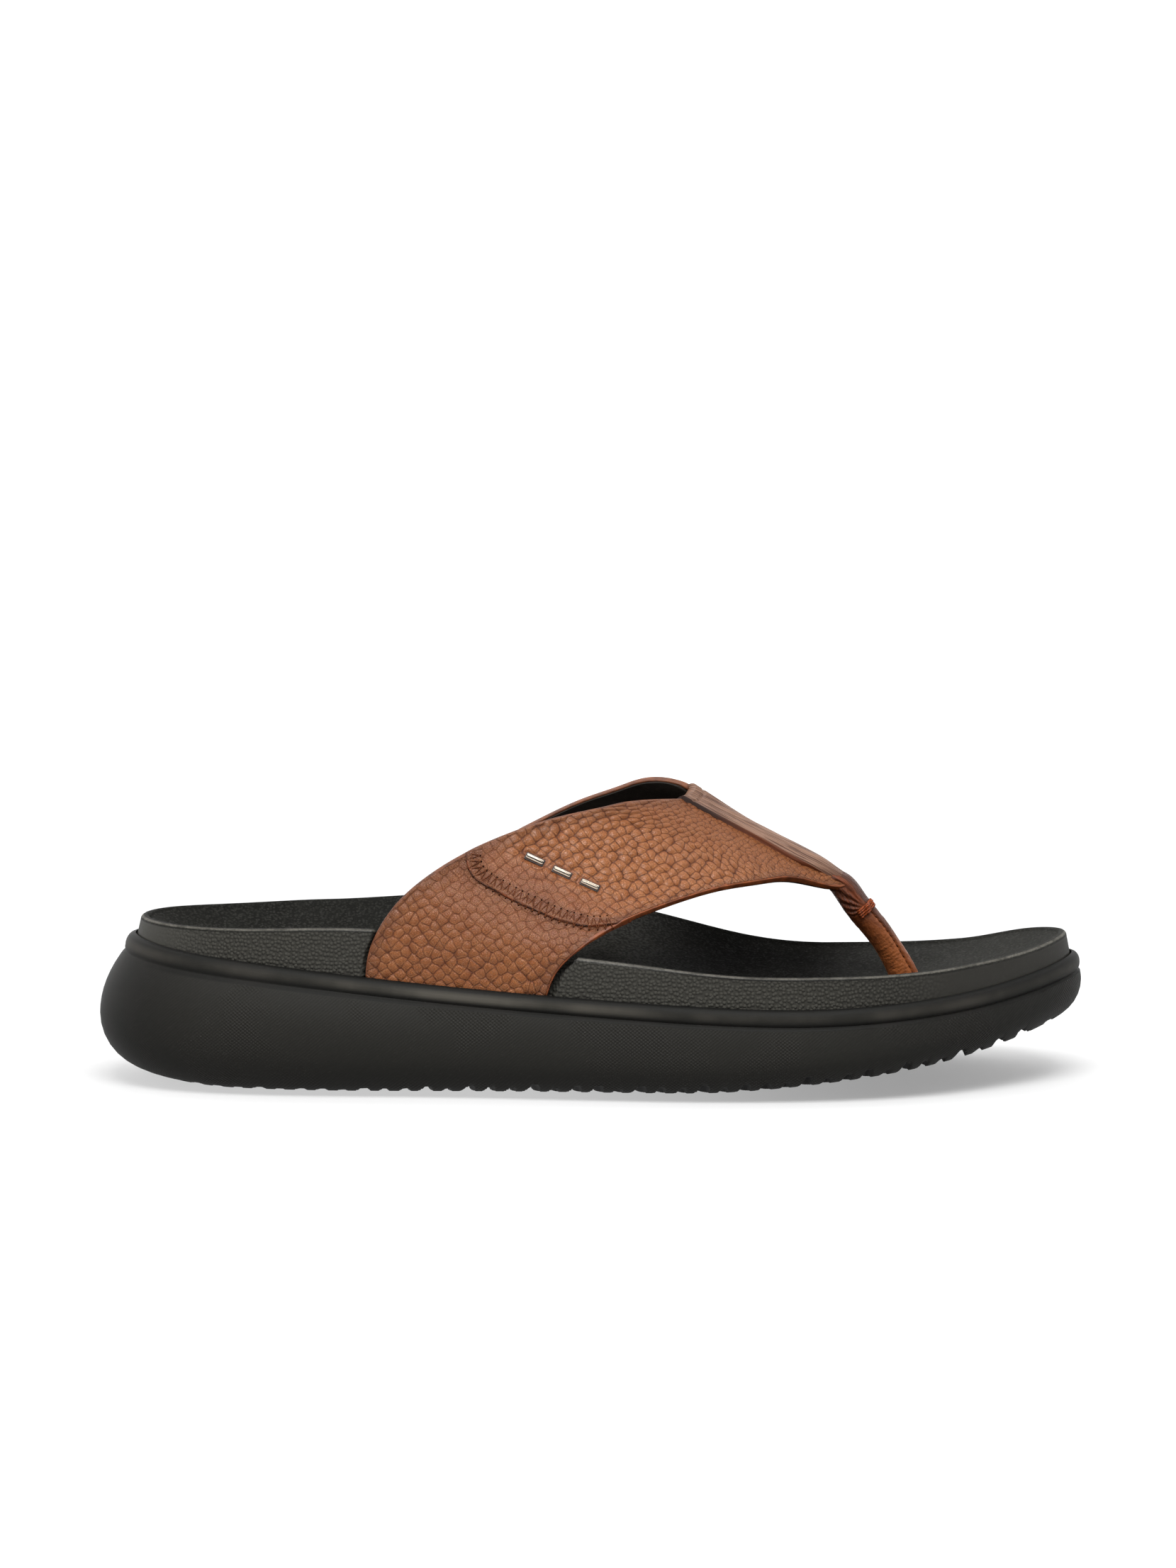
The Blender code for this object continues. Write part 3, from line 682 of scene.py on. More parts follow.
footbedStations = tableOf("along rim floor", [
    (8, 48.4, 41.5), (40, 48.2, 39.6), (80, 48.8, 39.6), (110, 45.6, 38.6), (139, 41.0, 36.0),
    (163, 37.7, 33.2), (189, 35.2, 31.0), (213, 34.9, 30.6), (240, 35.4, 31.3), (265, 37.8, 33.6),
    (288, 42.2, 37.6),
])

# edges of the straps from anchor to ridge; reach is the share of the way from the wall to the ridge
strapNames = "share rearAlong rearReach rearHeight frontAlong frontReach frontHeight"

outerStrap = tableOf(strapNames, [
    (0.00, 79.5, 0.000, 32.4, 131.0, 0.000, 27.9),
    (0.10, 80.3, 0.004, 41.0, 133.8, 0.006, 36.0),
    (0.20, 83.5, 0.040, 49.0, 138.5, 0.025, 41.9),
    (0.30, 89.0, 0.110, 56.6, 145.0, 0.085, 46.9),
    (0.40, 97.0, 0.200, 63.4, 153.3, 0.190, 51.2),
    (0.50, 108.0, 0.310, 69.9, 163.0, 0.320, 54.5),
    (0.60, 121.0, 0.435, 75.2, 174.0, 0.460, 57.3),
    (0.70, 135.0, 0.570, 79.2, 185.0, 0.590, 59.2),
    (0.80, 149.0, 0.695, 81.6, 196.0, 0.715, 59.9),
    (0.90, 162.0, 0.835, 82.7, 206.0, 0.840, 59.4),
    (0.95, 172.6, 0.955, 82.2, 213.0, 0.915, 58.7),
])

ridgeRow = tableOf(strapNames, [(1.00, 174.3, 1.000, 82.6, 217.5, 1.000, 61.0)])

innerStrap = tableOf(strapNames, [
    (0.00, 95.0, 0.000, 30.8, 147.0, 0.000, 26.9),
    (0.10, 95.8, 0.002, 42.0, 148.0, 0.002, 38.5),
    (0.20, 98.5, 0.022, 50.6, 151.0, 0.008, 46.5),
    (0.30, 104.0, 0.080, 58.2, 156.5, 0.040, 51.8),
    (0.40, 112.0, 0.170, 64.2, 163.5, 0.125, 55.0),
    (0.50, 122.0, 0.275, 69.6, 172.0, 0.255, 57.0),
    (0.60, 132.5, 0.400, 75.3, 181.0, 0.405, 58.4),
    (0.70, 143.0, 0.530, 80.4, 190.0, 0.555, 59.2),
    (0.80, 154.0, 0.680, 84.7, 199.0, 0.700, 59.4),
    (0.90, 167.5, 0.870, 87.5, 207.5, 0.830, 59.2),
    (0.95, 175.2, 0.930, 85.0, 213.5, 0.910, 58.6),
])


def archAt(along, across):
    spec = footbedSpec
    near = np.clip(np.abs(along - spec["archCentre"]) / spec["archReach"], 0, 1)
    inner = smooth(-0.05 * soleSpec["width"], 0.32 * soleSpec["width"], across)
    return spec["archRise"] * np.cos(near * math.pi / 2) ** 2 * inner


def notchAt(along, inner, height):
    # 1 where a strap passes through the footbed wall, 0 elsewhere
    table = innerStrap if inner else outerStrap
    low = slice(0, 5)      # rows of the table beside the footbed
    rear, front = (np.interp(height, table[edge + "Height"][low], table[edge + "Along"][low])
                   for edge in ("rear", "front"))
    rear = rear - footbedSpec["notchPlay"]
    front = front + footbedSpec["notchPlay"]
    slope = footbedSpec["notchSlope"]
    return smooth(rear - slope, rear, along) * (1 - smooth(front, front + slope, along))


def nearEdge(spots, edge):
    # distance of each spot from an edge, and the height of the edge there, worked out in batches
    far, height = np.empty(len(spots)), np.empty(len(spots))
    batch, blur = 4000, 1.5
    for start in range(0, len(spots), batch):
        part = slice(start, start + batch)
        apart = np.linalg.norm(spots[part, None, :] - edge[None, :, :2], axis=2)
        far[part] = apart.min(axis=1)
        weight = np.exp(-(apart - far[part, None]) / blur)
        height[part] = (weight * edge[None, :, 2]).sum(axis=1) / weight.sum(axis=1)
    return far, height


def buildFootbed(material):
    spec = footbedSpec
    along, across = plan[:, 0], plan[:, 1]
    inner = np.arange(len(plan)) >= len(plan) // 2
    wall = wallInset(along)
    rim = readTable(footbedStations, "rim", along) + archAt(along, across)
    rim -= spec["rimLean"] * across * smooth(115, 165, along) * (1 - smooth(258, 284, along))
    # rows of the section: inset from the wall, height, and how deep the notch is there
    rows = [(0.0, seatAt(along) + gap, 0.0)]
    low, high = topAt(along) - 0.6, rim - spec["rimRound"]
    for climb in np.linspace(0, 1, spec["wallRows"]):
        rows.append((spec["draft"] * (0.15 + 0.85 * climb), low + (high - low) * climb, climb))
    for turn in np.radians(spec["rimTurns"]):
        inset = spec["draft"] + spec["rimRound"] * (1 - math.cos(turn))
        rows.append((inset, high + spec["rimRound"] * math.sin(turn), 1.0))
    loops = []
    for inset, height, climb in rows:
        cut = np.where(inner, notchAt(along, True, height), notchAt(along, False, height))
        depth = spec["notchLow"] + (spec["notchHigh"] - spec["notchLow"]) * climb
        deep = max(inset, depth + 0.25 * (inset - spec["draft"]))
        drop = cut * spec["notchDrop"] * smooth(0.8, 1, climb)
        loops.append(ringAt(wall + inset + (deep - inset) * cut, height - drop))
    loops[0][:, 2] = seatAt(loops[0][:, 0]) + gap
    rimLoop = loops[-1]

    def dish(x, y):
        far, edge = nearEdge(np.stack([x.ravel(), y.ravel()], axis=1), rimLoop[::3])
        share = np.clip(far / spec["dishReach"], 0, 1).reshape(x.shape)
        floor = readTable(footbedStations, "floor", x) + 0.35 * archAt(x, y)
        level = floor + (edge.reshape(x.shape) - floor) * (1 - share) ** spec["dishPower"]
        toPost = np.hypot(x - spec["postSpot"][0], y - spec["postSpot"][1])
        return level - spec["postDip"] * (1 - smooth(0, spec["postReach"], toPost))

    under = ladderAt(loops[0], 4, lambda x, y: seatAt(x) + gap)
    hollow = ladderAt(rimLoop, spec["dishSteps"], dish)
    mesh = loftMesh("footbed_shell", loops, under, hollow)
    heights = np.array([loop[:, 2] for loop in loops])
    keepWallPlace(mesh, heights)
    onSide, rimWearSheen = np.zeros(heights.shape), np.zeros(heights.shape)
    onSide[:spec["wallRows"] + 1] = 1
    rimWearSheen[spec["wallRows"]:spec["wallRows"] + 6] = [[0.35], [0.8], [1.0], [0.9], [0.5], [0.2]]
    # no beads at the heel end and the toe end
    beaded = smooth(spec["beadFrom"], spec["beadFull"], fromHeel())
    beaded *= 1 - smooth(spec["smoothFrom"], spec["smoothFull"], along)
    for name, mask in (("pebbled", onSide * beaded), ("rimWearSheen", rimWearSheen), ("onSide", onSide)):
        keepWall(mesh, name, mask)
    print("footbed:", len(mesh.polygons), "faces")
    return newPiece("footbed_shell", mesh, material, ["footbed"], sharp=spec["sharp"])


footbedTones = {
    "base": (16, 16, 14), "paleBase": (20, 20, 18), "grain": (31, 31, 28), "glint": (50, 49, 46),
    "paintedSheen": (58, 57, 54), "shade": (6, 6, 5), "toes": (46, 46, 43), "heelSide": (50, 49, 45),
    "toeSide": (37, 36, 33), "bead": (72, 71, 66), "valleyShade": (30, 29, 27), "rim": (104, 101, 94),
}


def footbedMaterial():
    fixed = {"Specular_IOR_Level": 0.0, "Coat_Roughness": 0.36}
    material, shader, flow = newMaterial("footbed_skin", **fixed)
    tone = paints(footbedTones)
    place = objectPlace(flow)
    wall = stored(flow, "wallPlace", out=1)
    pebbled, rimWearSheen, onSide = (stored(flow, name) for name in ("pebbled", "rimWearSheen", "onSide"))
    cloud = noise(flow, place, 0.05, 3.0)
    fine = noise(flow, place, 3.0, 2.0)
    dots = domes(flow, wall, 0.86, 0.54, random=0.7)
    grain = domes(flow, place, 1.15, 0.72, flat=False, random=0.95)
    glint = grain.ranged(0.40, 0.90) * noise(flow, place, 0.55, 3.0).ranged(0.35, 0.62)
    bead = dots * pebbled
    colour = blended(flow, cloud.ranged(0.35, 0.7), tone["base"], tone["paleBase"])
    colour = colour.mixed(tone["grain"], grain * 0.6)
    colour = colour.mixed(tone["glint"], glint * 0.2)
    # painted light on a patch behind the straps, painted shadow of the straps under them, paler again at the
    # toes
    along = place.axis(0)
    paintedSheen = along.ranged(-14.0, 0.0) * (1 - along.ranged(5.0, 38.0))
    colour = colour.mixed(tone["paintedSheen"], paintedSheen * (0.3 + grain * 0.5))
    shade = along.ranged(5.0, 45.0) * (1 - along.ranged(62.0, 95.0))
    colour = colour.mixed(tone["shade"], shade * 0.9)
    colour = colour.mixed(tone["toes"], along.ranged(85.0, 125.0) * 0.35)
    side = blended(flow, along.ranged(50.0, 110.0), tone["heelSide"], tone["toeSide"])
    colour = colour.mixed(side, onSide)
    # painted highlight on the tops of the beads
    colour = colour.mixed(tone["bead"], bead * 0.28)
    # painted shade in the hollows between the beads
    colour = colour.mixed(tone["valleyShade"], (1 - dots) ** 3.0 * pebbled * 0.2)
    # a worn pale line along the rim, partly painted highlight on its edge
    worn = rimWearSheen.ranged(0.80, 1.0) * noise(flow, place, 0.3, 4.0).ranged(0.32, 0.62, 0.45, 1.0)
    colour = colour.mixed(tone["rim"], worn * 0.55)
    roughness = 0.52 + cloud * 0.12 + (1 - grain) * 0.12
    normal = bumped(flow, grain * (1 - onSide), 0.32, 0.9)
    normal = bumped(flow, bead, 0.46, 0.95, normal)
    normal = bumped(flow, fine, 0.04, 0.4, normal)
    coat = 0.05 - shade * 0.04 + onSide * 0.15 + rimWearSheen * 0.1 + glint * 0.03
    wire(shader, Base_Color=colour, Roughness=roughness, Coat_Weight=coat, Normal=normal)
    return material


# straps

strapSpec = {
    "ridgeRear": 6.0, "ridgeFront": 10.0, "tip": 0.13, "tipReach": 0.038,
    "grid": 0.42,          # spacing of the leather mesh
    "meshWidth": 54.0, "panelLength": {-1: 72.0, 1: 66.0}, "tabLength": 46.0,
    "panelSeed": {-1: 3, 1: 23}, "tabSeed": {-1: 11, 1: 31},
    "panelLift": 0.45, "panelWall": 1.25, "tabWall": 1.35, "tabUnder": 0.08,
    "liningTop": -1.72, "liningFoot": -2.42, "liningRows": 161, "liningSteps": 44,
    "cell": 2.75,          # size of a pebble
    "pebble": 0.60,        # height of a pebble
    "turn": 40.0,          # slant of the rows of pebbles
    "wrinkle": 0.06, "bend": 0.16, "edgeRound": 0.55,
    "strapLength": 112.0,  # anchor to ridge along the middle
    "sharp": 60.0,
}


def ridgeShare(along):
    # 0 at the throat end of the ridge, 1 at its front end
    rear, front = ridgeRow["rearAlong"][0], ridgeRow["frontAlong"][0]
    return (along - rear) / (front - rear)


def ridgeAcross(along):
    rear, front = strapSpec["ridgeRear"], strapSpec["ridgeFront"]
    return rear + (front - rear) * ridgeShare(along)


wallEdge = ringAt(wallInset(plan[:, 0]), 0)


def wallAcross(along, inner):
    half = len(wallEdge) // 2
    side = wallEdge[half:] if inner else wallEdge[:half + 1]
    order = np.argsort(side[:, 0])
    return np.interp(along, side[order, 0], side[order, 1])


def strapEdge(table, inner, edge):
    along, reach = table[edge + "Along"], table[edge + "Reach"]
    wall = wallAcross(along, inner)
    across = wall + (ridgeAcross(along) - wall) * reach
    return np.stack([along, across, table[edge + "Height"], reach], axis=1)


def bothStraps(edge):
    # one edge from the outer anchor over the ridge to the inner anchor
    outer, ridge = strapEdge(outerStrap, False, edge), strapEdge(ridgeRow, False, edge)
    return np.concatenate([outer, ridge, strapEdge(innerStrap, True, edge)[::-1]])


strapKnots = [outerStrap["share"] - 1, ridgeRow["share"] - 1, 1 - innerStrap["share"][::-1]]
strapKnots = np.concatenate(strapKnots)
edgeRows = {edge: bothStraps(edge) for edge in ("rear", "front")}


def tipStretch(strap):
    # on each side of the ridge the front edge runs out into a tip at the neck
    near = (strap / strapSpec["tipReach"]) ** 2
    return 1 + strapSpec["tip"] * near * np.exp(1 - near)


def strapPoints(strap, width):
    # strap runs -1 outer anchor, 0 ridge, 1 inner anchor; width 0 rear edge, 1 front edge
    strap = np.asarray(strap, float)
    rear = spline(strapKnots, edgeRows["rear"], strap)
    front = spline(strapKnots, edgeRows["front"], strap)
    share = (np.asarray(width, float) * tipStretch(strap))[..., None]
    spot = rear + (front - rear) * share
    inner = strap > 0
    wallOf = lambda along: np.where(inner, wallAcross(along, True), wallAcross(along, False))
    rearWall, frontWall = wallOf(rear[..., 0]), wallOf(front[..., 0])
    # low down the strap follows the curve of the footbed wall
    straight = rearWall + (frontWall - rearWall) * share[..., 0]
    spot[..., 1] += (wallOf(spot[..., 0]) - straight) * np.clip(1 - spot[..., 3], 0, 1)
    return spot[..., :3]


def strapNormals(strap, width):
    step = 2e-3
    along = strapPoints(strap + step, width) - strapPoints(strap - step, width)
    across = strapPoints(strap, width + step) - strapPoints(strap, width - step)
    return unit(np.cross(across, along))


# the upper panel lies over the lower tab along this line
seamLine = tableOf("width share", [
    (0.015, 0.498), (0.113, 0.458), (0.231, 0.426), (0.363, 0.406), (0.491, 0.386), (0.609, 0.371),
    (0.732, 0.355), (0.837, 0.349), (0.922, 0.356), (0.977, 0.380),
])


def seamAt(width, side):
    # side is -1 for the outer strap and 1 for the inner one
    return side * (1 - readTable(seamLine, "share", width))


# soft troughs pressed into the straps: strap and width at both ends, depth, half width
creases = tableOf("strap0 width0 strap1 width1 depth half", [
    (0.58, 0.12, 0.40, 0.20, 0.22, 5.0),
    (0.50, 0.78, 0.30, 0.90, 0.25, 4.5),
    (0.30, 0.10, 0.16, 0.45, 0.18, 5.0),
    (0.78, 0.15, 0.70, 0.70, 0.22, 6.0),
    (0.92, 0.20, 0.86, 0.80, 0.16, 4.0),
])


def creaseDepth(points, side):
    total = np.zeros(points.shape[:-1])
    for row in zip(*creases.values()):
        ends = strapPoints(np.array([side * row[0], side * row[2]]), np.array([row[1], row[3]]))
        line = ends[1] - ends[0]
        share = np.clip(((points - ends[0]) @ line) / (line @ line), 0, 1)
        off = np.linalg.norm(points - ends[0] - share[..., None] * line, axis=-1)
        total += row[4] * np.exp(-(off / row[5]) ** 2)
    return total


bars = tableOf("share width", [(0.546, 0.271), (0.531, 0.451), (0.516, 0.632)])
barSpec = {
    "length": 5.3, "width": 1.7, "height": 0.80, "lift": 0.36, "crown": 0.8, "sunk": 0.3,
    "bedLength": 5.95, "bedWidth": 2.35, "round": 0.30, "sharp": 40.0,
}


def barFrames():
    places = strapPoints(bars["share"] - 1, bars["width"])
    normals = strapNormals(bars["share"] - 1, bars["width"])
    run = unit(places[-1] - places[0])
    frames = []
    for place, up in zip(places, normals):
        ahead = unit(run - up * (up @ run))
        frames.append((place, ahead, np.cross(up, ahead), up))
    return frames


def nearBars(points, grow):
    # 1 on the beds of the metal bars, fading to 0 around them
    mask = np.zeros(points.shape[:-1])
    for place, ahead, side, up in barFrames():
        off = points - place
        x = np.abs(off @ ahead) - barSpec["bedLength"] / 2
        y = np.abs(off @ side) - barSpec["bedWidth"] / 2
        out = np.hypot(np.maximum(x, 0), np.maximum(y, 0))
        mask = np.maximum(mask, (1 - smooth(0, grow, out)) * (np.abs(off @ up) < 6))
    return mask


pebbleSpread = 0.52        # how uneven the pebbles are, 0 for a square grid


def pebbleDome(flow, place):
    # plump tops that fall into a valley between neighbours
    return domes(flow, place, 1.0, 0.74, random=pebbleSpread)


def grainTree():
    # pushes the leather out into pebbles between fine creases
    tree, flow, given = newTree("pebbleGrain", ("Pebble Height", "Wrinkle Height"))
    place, relief = kept(flow, "grain"), kept(flow, "relief", "FLOAT")
    dome = pebbleDome(flow, place)
    wrinkle = cells(flow, place, 2.3).ranged(0.0, 0.2)
    push = (dome - 0.75) * given("Pebble Height") + (wrinkle - 1) * given("Wrinkle Height")
    offset = flow.add("GeometryNodeInputNormal").scaled(push * relief)
    values = {"Geometry": given("Geometry"), "Offset": offset}
    return closeTree(tree, flow, flow.add("GeometryNodeSetPosition", {}, values), given("Finish"))


def edgeDrop(run, total, radius):
    # how far a sheet falls away as it rounds over an edge
    near = np.minimum(run, total - run)
    inside = np.clip(1 - near / radius, 0, 1)
    return radius * (1 - np.sqrt(np.maximum(1 - inside ** 2, 0)))


def flatPlaces(strap, width, side):
    # where each point of a strap lies when the leather is spread flat; the grain is finer near the ridge
    rows, cols = 240, 40
    even = np.meshgrid(side * np.linspace(0, 1, rows + 1), np.linspace(0, 1, cols + 1), indexing="ij")
    density = 1.75 - 0.75 * smooth(0.04, 0.28, np.abs(even[0]))
    grids = unrolled(strapPoints(*even), density)
    inside = 1e-6          # keeps the last point in the last cell
    row = np.clip(np.abs(strap) * rows, 0, rows - inside)
    col = np.clip(width * cols, 0, cols - inside)
    i, j = row.astype(int), col.astype(int)
    di, dj = row - i, col - j
    return [(grid[i, j] * (1 - di) + grid[i + 1, j] * di) * (1 - dj)
            + (grid[i, j + 1] * (1 - di) + grid[i + 1, j + 1] * di) * dj for grid in grids]


def leatherSheet(name, strap, width, side, seed, sheet, tree, material):
    # sheet holds lift, wall, relief, raw and the darkening along the seam for each point
    spec = strapSpec
    base = strapPoints(strap, width)
    normal = strapNormals(strap, width)
    across = runLength(base, 1)
    rounding = edgeDrop(across, across[:, -1:], spec["edgeRound"])
    lift = sheet["lift"] - rounding - creaseDepth(base, side)
    outer = base + normal * lift[..., None]
    inner = base + normal * (lift - sheet["wall"])[..., None]
    # grain coordinates in pebbles, bent a little so that no two cells look alike
    u, v = (flat / spec["cell"] + seed for flat in flatPlaces(strap, width, side))
    slant = math.radians(spec["turn"])
    u, v = u * math.cos(slant) - v * math.sin(slant), u * math.sin(slant) + v * math.cos(slant)
    bend = [spec["bend"] * softNoise(u * 0.9, v * 0.9, seed + turn) for turn in (0, 1)]
    grain = np.stack([u + bend[0], v + bend[1], 0 * u], axis=-1)
    rows, cols = strap.shape
    mesh = newMesh(name, sheetPoints(outer, inner), sheetFaces(rows, cols))
    twice = lambda values: np.concatenate([values.reshape(rows * cols, -1)] * 2).squeeze()
    onFace = np.concatenate([np.ones(rows * cols), np.zeros(rows * cols)])
    rim = np.minimum(across, across[:, -1:] - across)
    keepValues(mesh, "grain", twice(grain))
    keepValues(mesh, "relief", twice(sheet["relief"] * smooth(0.1, 1.0, rim)) * onFace)
    keepValues(mesh, "flat", twice(1 - np.clip(sheet["relief"], 0, 1)))
    keepValues(mesh, "rimGap", twice(rim))
    keepValues(mesh, "rawEdge", np.maximum(twice(sheet["raw"]), 1 - onFace))
    keepValues(mesh, "seamDarkness", twice(sheet["seamDark"]))
    heights = {"Pebble_Height": spec["pebble"] * mm, "Wrinkle_Height": spec["wrinkle"] * mm}
    made = settle(mesh, tree, Finish=material, **heights)
    made.shade_smooth()
    print(name + ":", len(made.polygons), "faces")
    return newPiece(name, made, material, ["upper"], sharp=spec["sharp"])


def panelLift(up, fromSeam):
    # height of the upper panel's face: thin at the ridge, sunk a little under the stitches
    lift = strapSpec["panelLift"] * smooth(0.03, 0.10, up) - 0.05
    lift = lift - 0.35 * (1 - smooth(0.0, 0.9, fromSeam)) ** 2
    return lift - 0.16 * smooth(0.2, 0.9, fromSeam) * (1 - smooth(3.4, 4.8, fromSeam))


def strapGrid(length, side):
    # steps along and across a sheet of leather, and the seam at each step across
    width = edgeSteps(int(strapSpec["meshWidth"] / strapSpec["grid"]), 0.45)[None, :]
    rows = np.linspace(0, 1, int(length / strapSpec["grid"]))[:, None]
    return rows, width, seamAt(width, side)


def buildPanel(side, label, tree, material):
    # upper panel, from the seam to the ridge
    spec = strapSpec
    rows, width, seam = strapGrid(spec["panelLength"][side], side)
    strap = seam * (1 - rows) if side < 0 else seam * rows
    width = np.broadcast_to(width, strap.shape)
    base = strapPoints(strap, width)
    fromSeam = runLength(base, 0)
    fromSeam = fromSeam if side < 0 else fromSeam[-1:] - fromSeam
    up = np.abs(strap)
    bed = nearBars(base, 1.2) if side < 0 else np.zeros_like(up)
    # flatter towards the ridge, the seam and the bars
    relief = 0.55 + 0.45 * smooth(0.05, 0.26, up)
    frontCorner = 0.6 * smooth(0.72, 0.9, width) * smooth(3.5, 7, fromSeam)
    relief *= 0.16 + 0.84 * np.maximum(smooth(8.0, 19.0, fromSeam), frontCorner)
    sheet = {
        "lift": panelLift(up, fromSeam) - 0.25 * bed,
        "wall": spec["panelWall"] - 0.4 * (1 - smooth(0.02, 0.1, up)),
        "relief": relief * (1 - bed),
        "raw": 1 - smooth(0.05, 0.30, fromSeam),
        "seamDark": 1 - smooth(3.8, 6.5, fromSeam),
    }
    name = label + "_strap_panel"
    return leatherSheet(name, strap, width, side, spec["panelSeed"][side], sheet, tree, material)


def buildTab(side, label, tree, material):
    # lower tab, from the anchor to under the panel
    spec = strapSpec
    rows, width, seam = strapGrid(spec["tabLength"], side)
    end = seam * (1 - spec["tabUnder"])
    strap = -1 + (end + 1) * rows if side < 0 else end + (1 - end) * rows
    width = np.broadcast_to(width, strap.shape)
    below = (np.abs(strap) - np.abs(seam)) * spec["strapLength"]
    relief = 0.20 + 0.48 * smooth(4, 28, below)
    sheet = {
        "lift": -0.55 + 0.5 * smooth(2, 26, below) - 0.45 * (1 - smooth(-2.5, -0.2, below)),
        "wall": spec["tabWall"] - 0.3 * (1 - smooth(-3, 0, below)),
        "relief": relief * (0.45 + 0.55 * smooth(-1.0, 0.5, below)),
        "raw": 0 * below,
        # painted shadow under the panel's edge, fading down the tab
        "seamDark": 1 - 0.75 * smooth(0.5, 3.5, below),
    }
    name = label + "_strap_tab"
    return leatherSheet(name, strap, width, side, spec["tabSeed"][side], sheet, tree, material)


def buildLining(material):
    # black lining under both straps
    spec = strapSpec
    even = np.linspace(-1, 1, spec["liningRows"])
    strap = np.sign(even) * np.abs(even) ** 1.1
    width = 0.004 + 0.992 * edgeSteps(spec["liningSteps"], 0.4)
    strap, width = np.meshgrid(strap, width, indexing="ij")
    base = strapPoints(strap, width)
    normal = strapNormals(strap, width)
    for turn in range(3):
        normal[1:-1] = unit(normal[:-2] + normal[1:-1] * 2 + normal[2:])
    outer, inner = (base + normal * spec[face] for face in ("liningTop", "liningFoot"))
    mesh = newMesh("strap_lining", sheetPoints(outer, inner), sheetFaces(*strap.shape))
    print("lining:", len(mesh.polygons), "faces")
    return newPiece("strap_lining", mesh, material, ["upper"], sharp=spec["sharp"])


# cut edges of the straps

cutSpec = {
    "bulge": 0.34, "root": 0.6, "rootStep": 0.05, "top": 0.16, "foot": -1.75,
    "tabStep": 0.6,        # the edge is lower on the tab than on the panel
    "ridgeStep": 0.25, "from": 0.02, "to": 0.97, "rows": 190,
}


def beadAlong(path, out, up, high, low):
    # half-round bead along an edge: out points away from the leather, up along its thickness
    spec = cutSpec
    middle, half = (high + low) / 2, (high - low) / 2
    points = []
    for turn in np.radians(np.linspace(90, -90, 11)):
        # squarer than a circle, as a cut edge is
        flat, tall = math.cos(turn) ** 0.45, math.copysign(abs(math.sin(turn)) ** 0.75, turn)
        points.append(path + out * spec["bulge"] * flat + up * (middle + half * tall)[:, None])
    points.append(path - out * spec["root"] + up * (low + spec["rootStep"])[:, None])
    points.append(path - out * spec["root"] + up * (high - spec["rootStep"])[:, None])
    return np.stack(points, axis=1)


def tubeMesh(name, rings):
    # rings of points joined into a closed tube with flat ends
    rows, sides = rings.shape[:2]
    middle = rings[[0, -1]].mean(axis=1)
    points = np.concatenate([rings.reshape(-1, 3), middle])
    first, last = rows * sides, rows * sides + 1
    tris = []
    for k in range(sides):
        after = (k + 1) % sides
        tris.append((first, after, k))
        tris.append((last, (rows - 1) * sides + k, (rows - 1) * sides + after))
    index = np.arange(rows * sides).reshape(rows, sides)
    return newMesh(name, points, gridFaces(index, closed=True), tris)


def keepRings(mesh, name, values):
    # stores values given for the rings of a tube; its two end points get nothing
    values = values.reshape(len(mesh.vertices) - 2, -1)
    keepValues(mesh, name, np.concatenate([values, np.zeros((2, values.shape[1]))]).squeeze())


def joinMeshes(name, meshes):
    # several meshes as one
    points, quads, tris, count = [], [], [], 0
    for mesh in meshes:
        co = np.empty(len(mesh.vertices) * 3, np.float32)
        mesh.vertices.foreach_get("co", co)
        points.append(co.reshape(-1, 3) / mm + [soleSpec["length"] / 2, 0, 0])
        for face in mesh.polygons:
            corners = [count + v for v in face.vertices]
            (quads if len(corners) == 4 else tris).append(corners)
        count += len(mesh.vertices)
    return newMesh(name, np.concatenate(points), quads, tris)


def buildCutEdges(label, edge, material):
    # dyed cut edges along the front (1) or the rear (0) of both straps
    spec = cutSpec
    meshes = []
    for side in (-1, 1):
        strap = side * np.linspace(spec["from"], spec["to"], spec["rows"])
        width = np.full_like(strap, edge)
        path = strapPoints(strap, width)
        up = strapNormals(strap, width)
        out = unit(np.cross(unit(np.gradient(path, axis=0)), up))
        beyond = strapPoints(strap, width + (0.01 if edge else -0.01)) - path
        out *= np.sign((out * beyond).sum(axis=1))[:, None]
        seam = abs(seamAt(np.array([edge]), side)[0])
        onTab = smooth(seam - 0.02, seam + 0.01, np.abs(strap))
        nearRidge = 1 - smooth(0.02, 0.1, np.abs(strap))
        high = spec["top"] - spec["tabStep"] * onTab - spec["ridgeStep"] * nearRidge
        meshes.append(tubeMesh("bead", beadAlong(path, out, up, high, np.full_like(high, spec["foot"]))))
    mesh = joinMeshes(label + "_cut_edges", meshes)
    print(label, "cut edges:", len(mesh.polygons), "faces")
    return newPiece(label + "_cut_edges", mesh, material, ["upper"], sharp=strapSpec["sharp"])


# toe post: a folded tube of leather, gathered at the neck and sewn along its front

postSpec = {
    "tack": 14.0, "seamTurn": 34.0, "seamGroove": 0.34, "seamHalf": 0.3, "seamStep": 0.2,
    "foldDepth": 0.30, "foldTurn": 17.0,
    "wrinkle": 0.11, "wrinkleGap": 1.15, "wrinkleFrom": 24.0,
    "radius": 3.8, "rows": 170, "sides": 104, "sharp": 70.0,
}

postShape = tableOf("along across height wide deep", [
    (215.5, 9.75, 58.3, 3.6, 2.9), (218.9, 9.95, 56.0, 3.9, 3.7), (223.1, 10.2, 50.4, 4.1, 4.0),
    (229.2, 11.0, 42.7, 3.8, 3.9), (233.6, 11.8, 36.2, 3.6, 3.85), (237.5, 12.4, 29.0, 3.6, 4.2),
    (238.6, 12.6, 26.6, 3.6, 4.2),
])

postRows = np.column_stack(list(postShape.values()))
postRun = distances(postRows[:, :3])


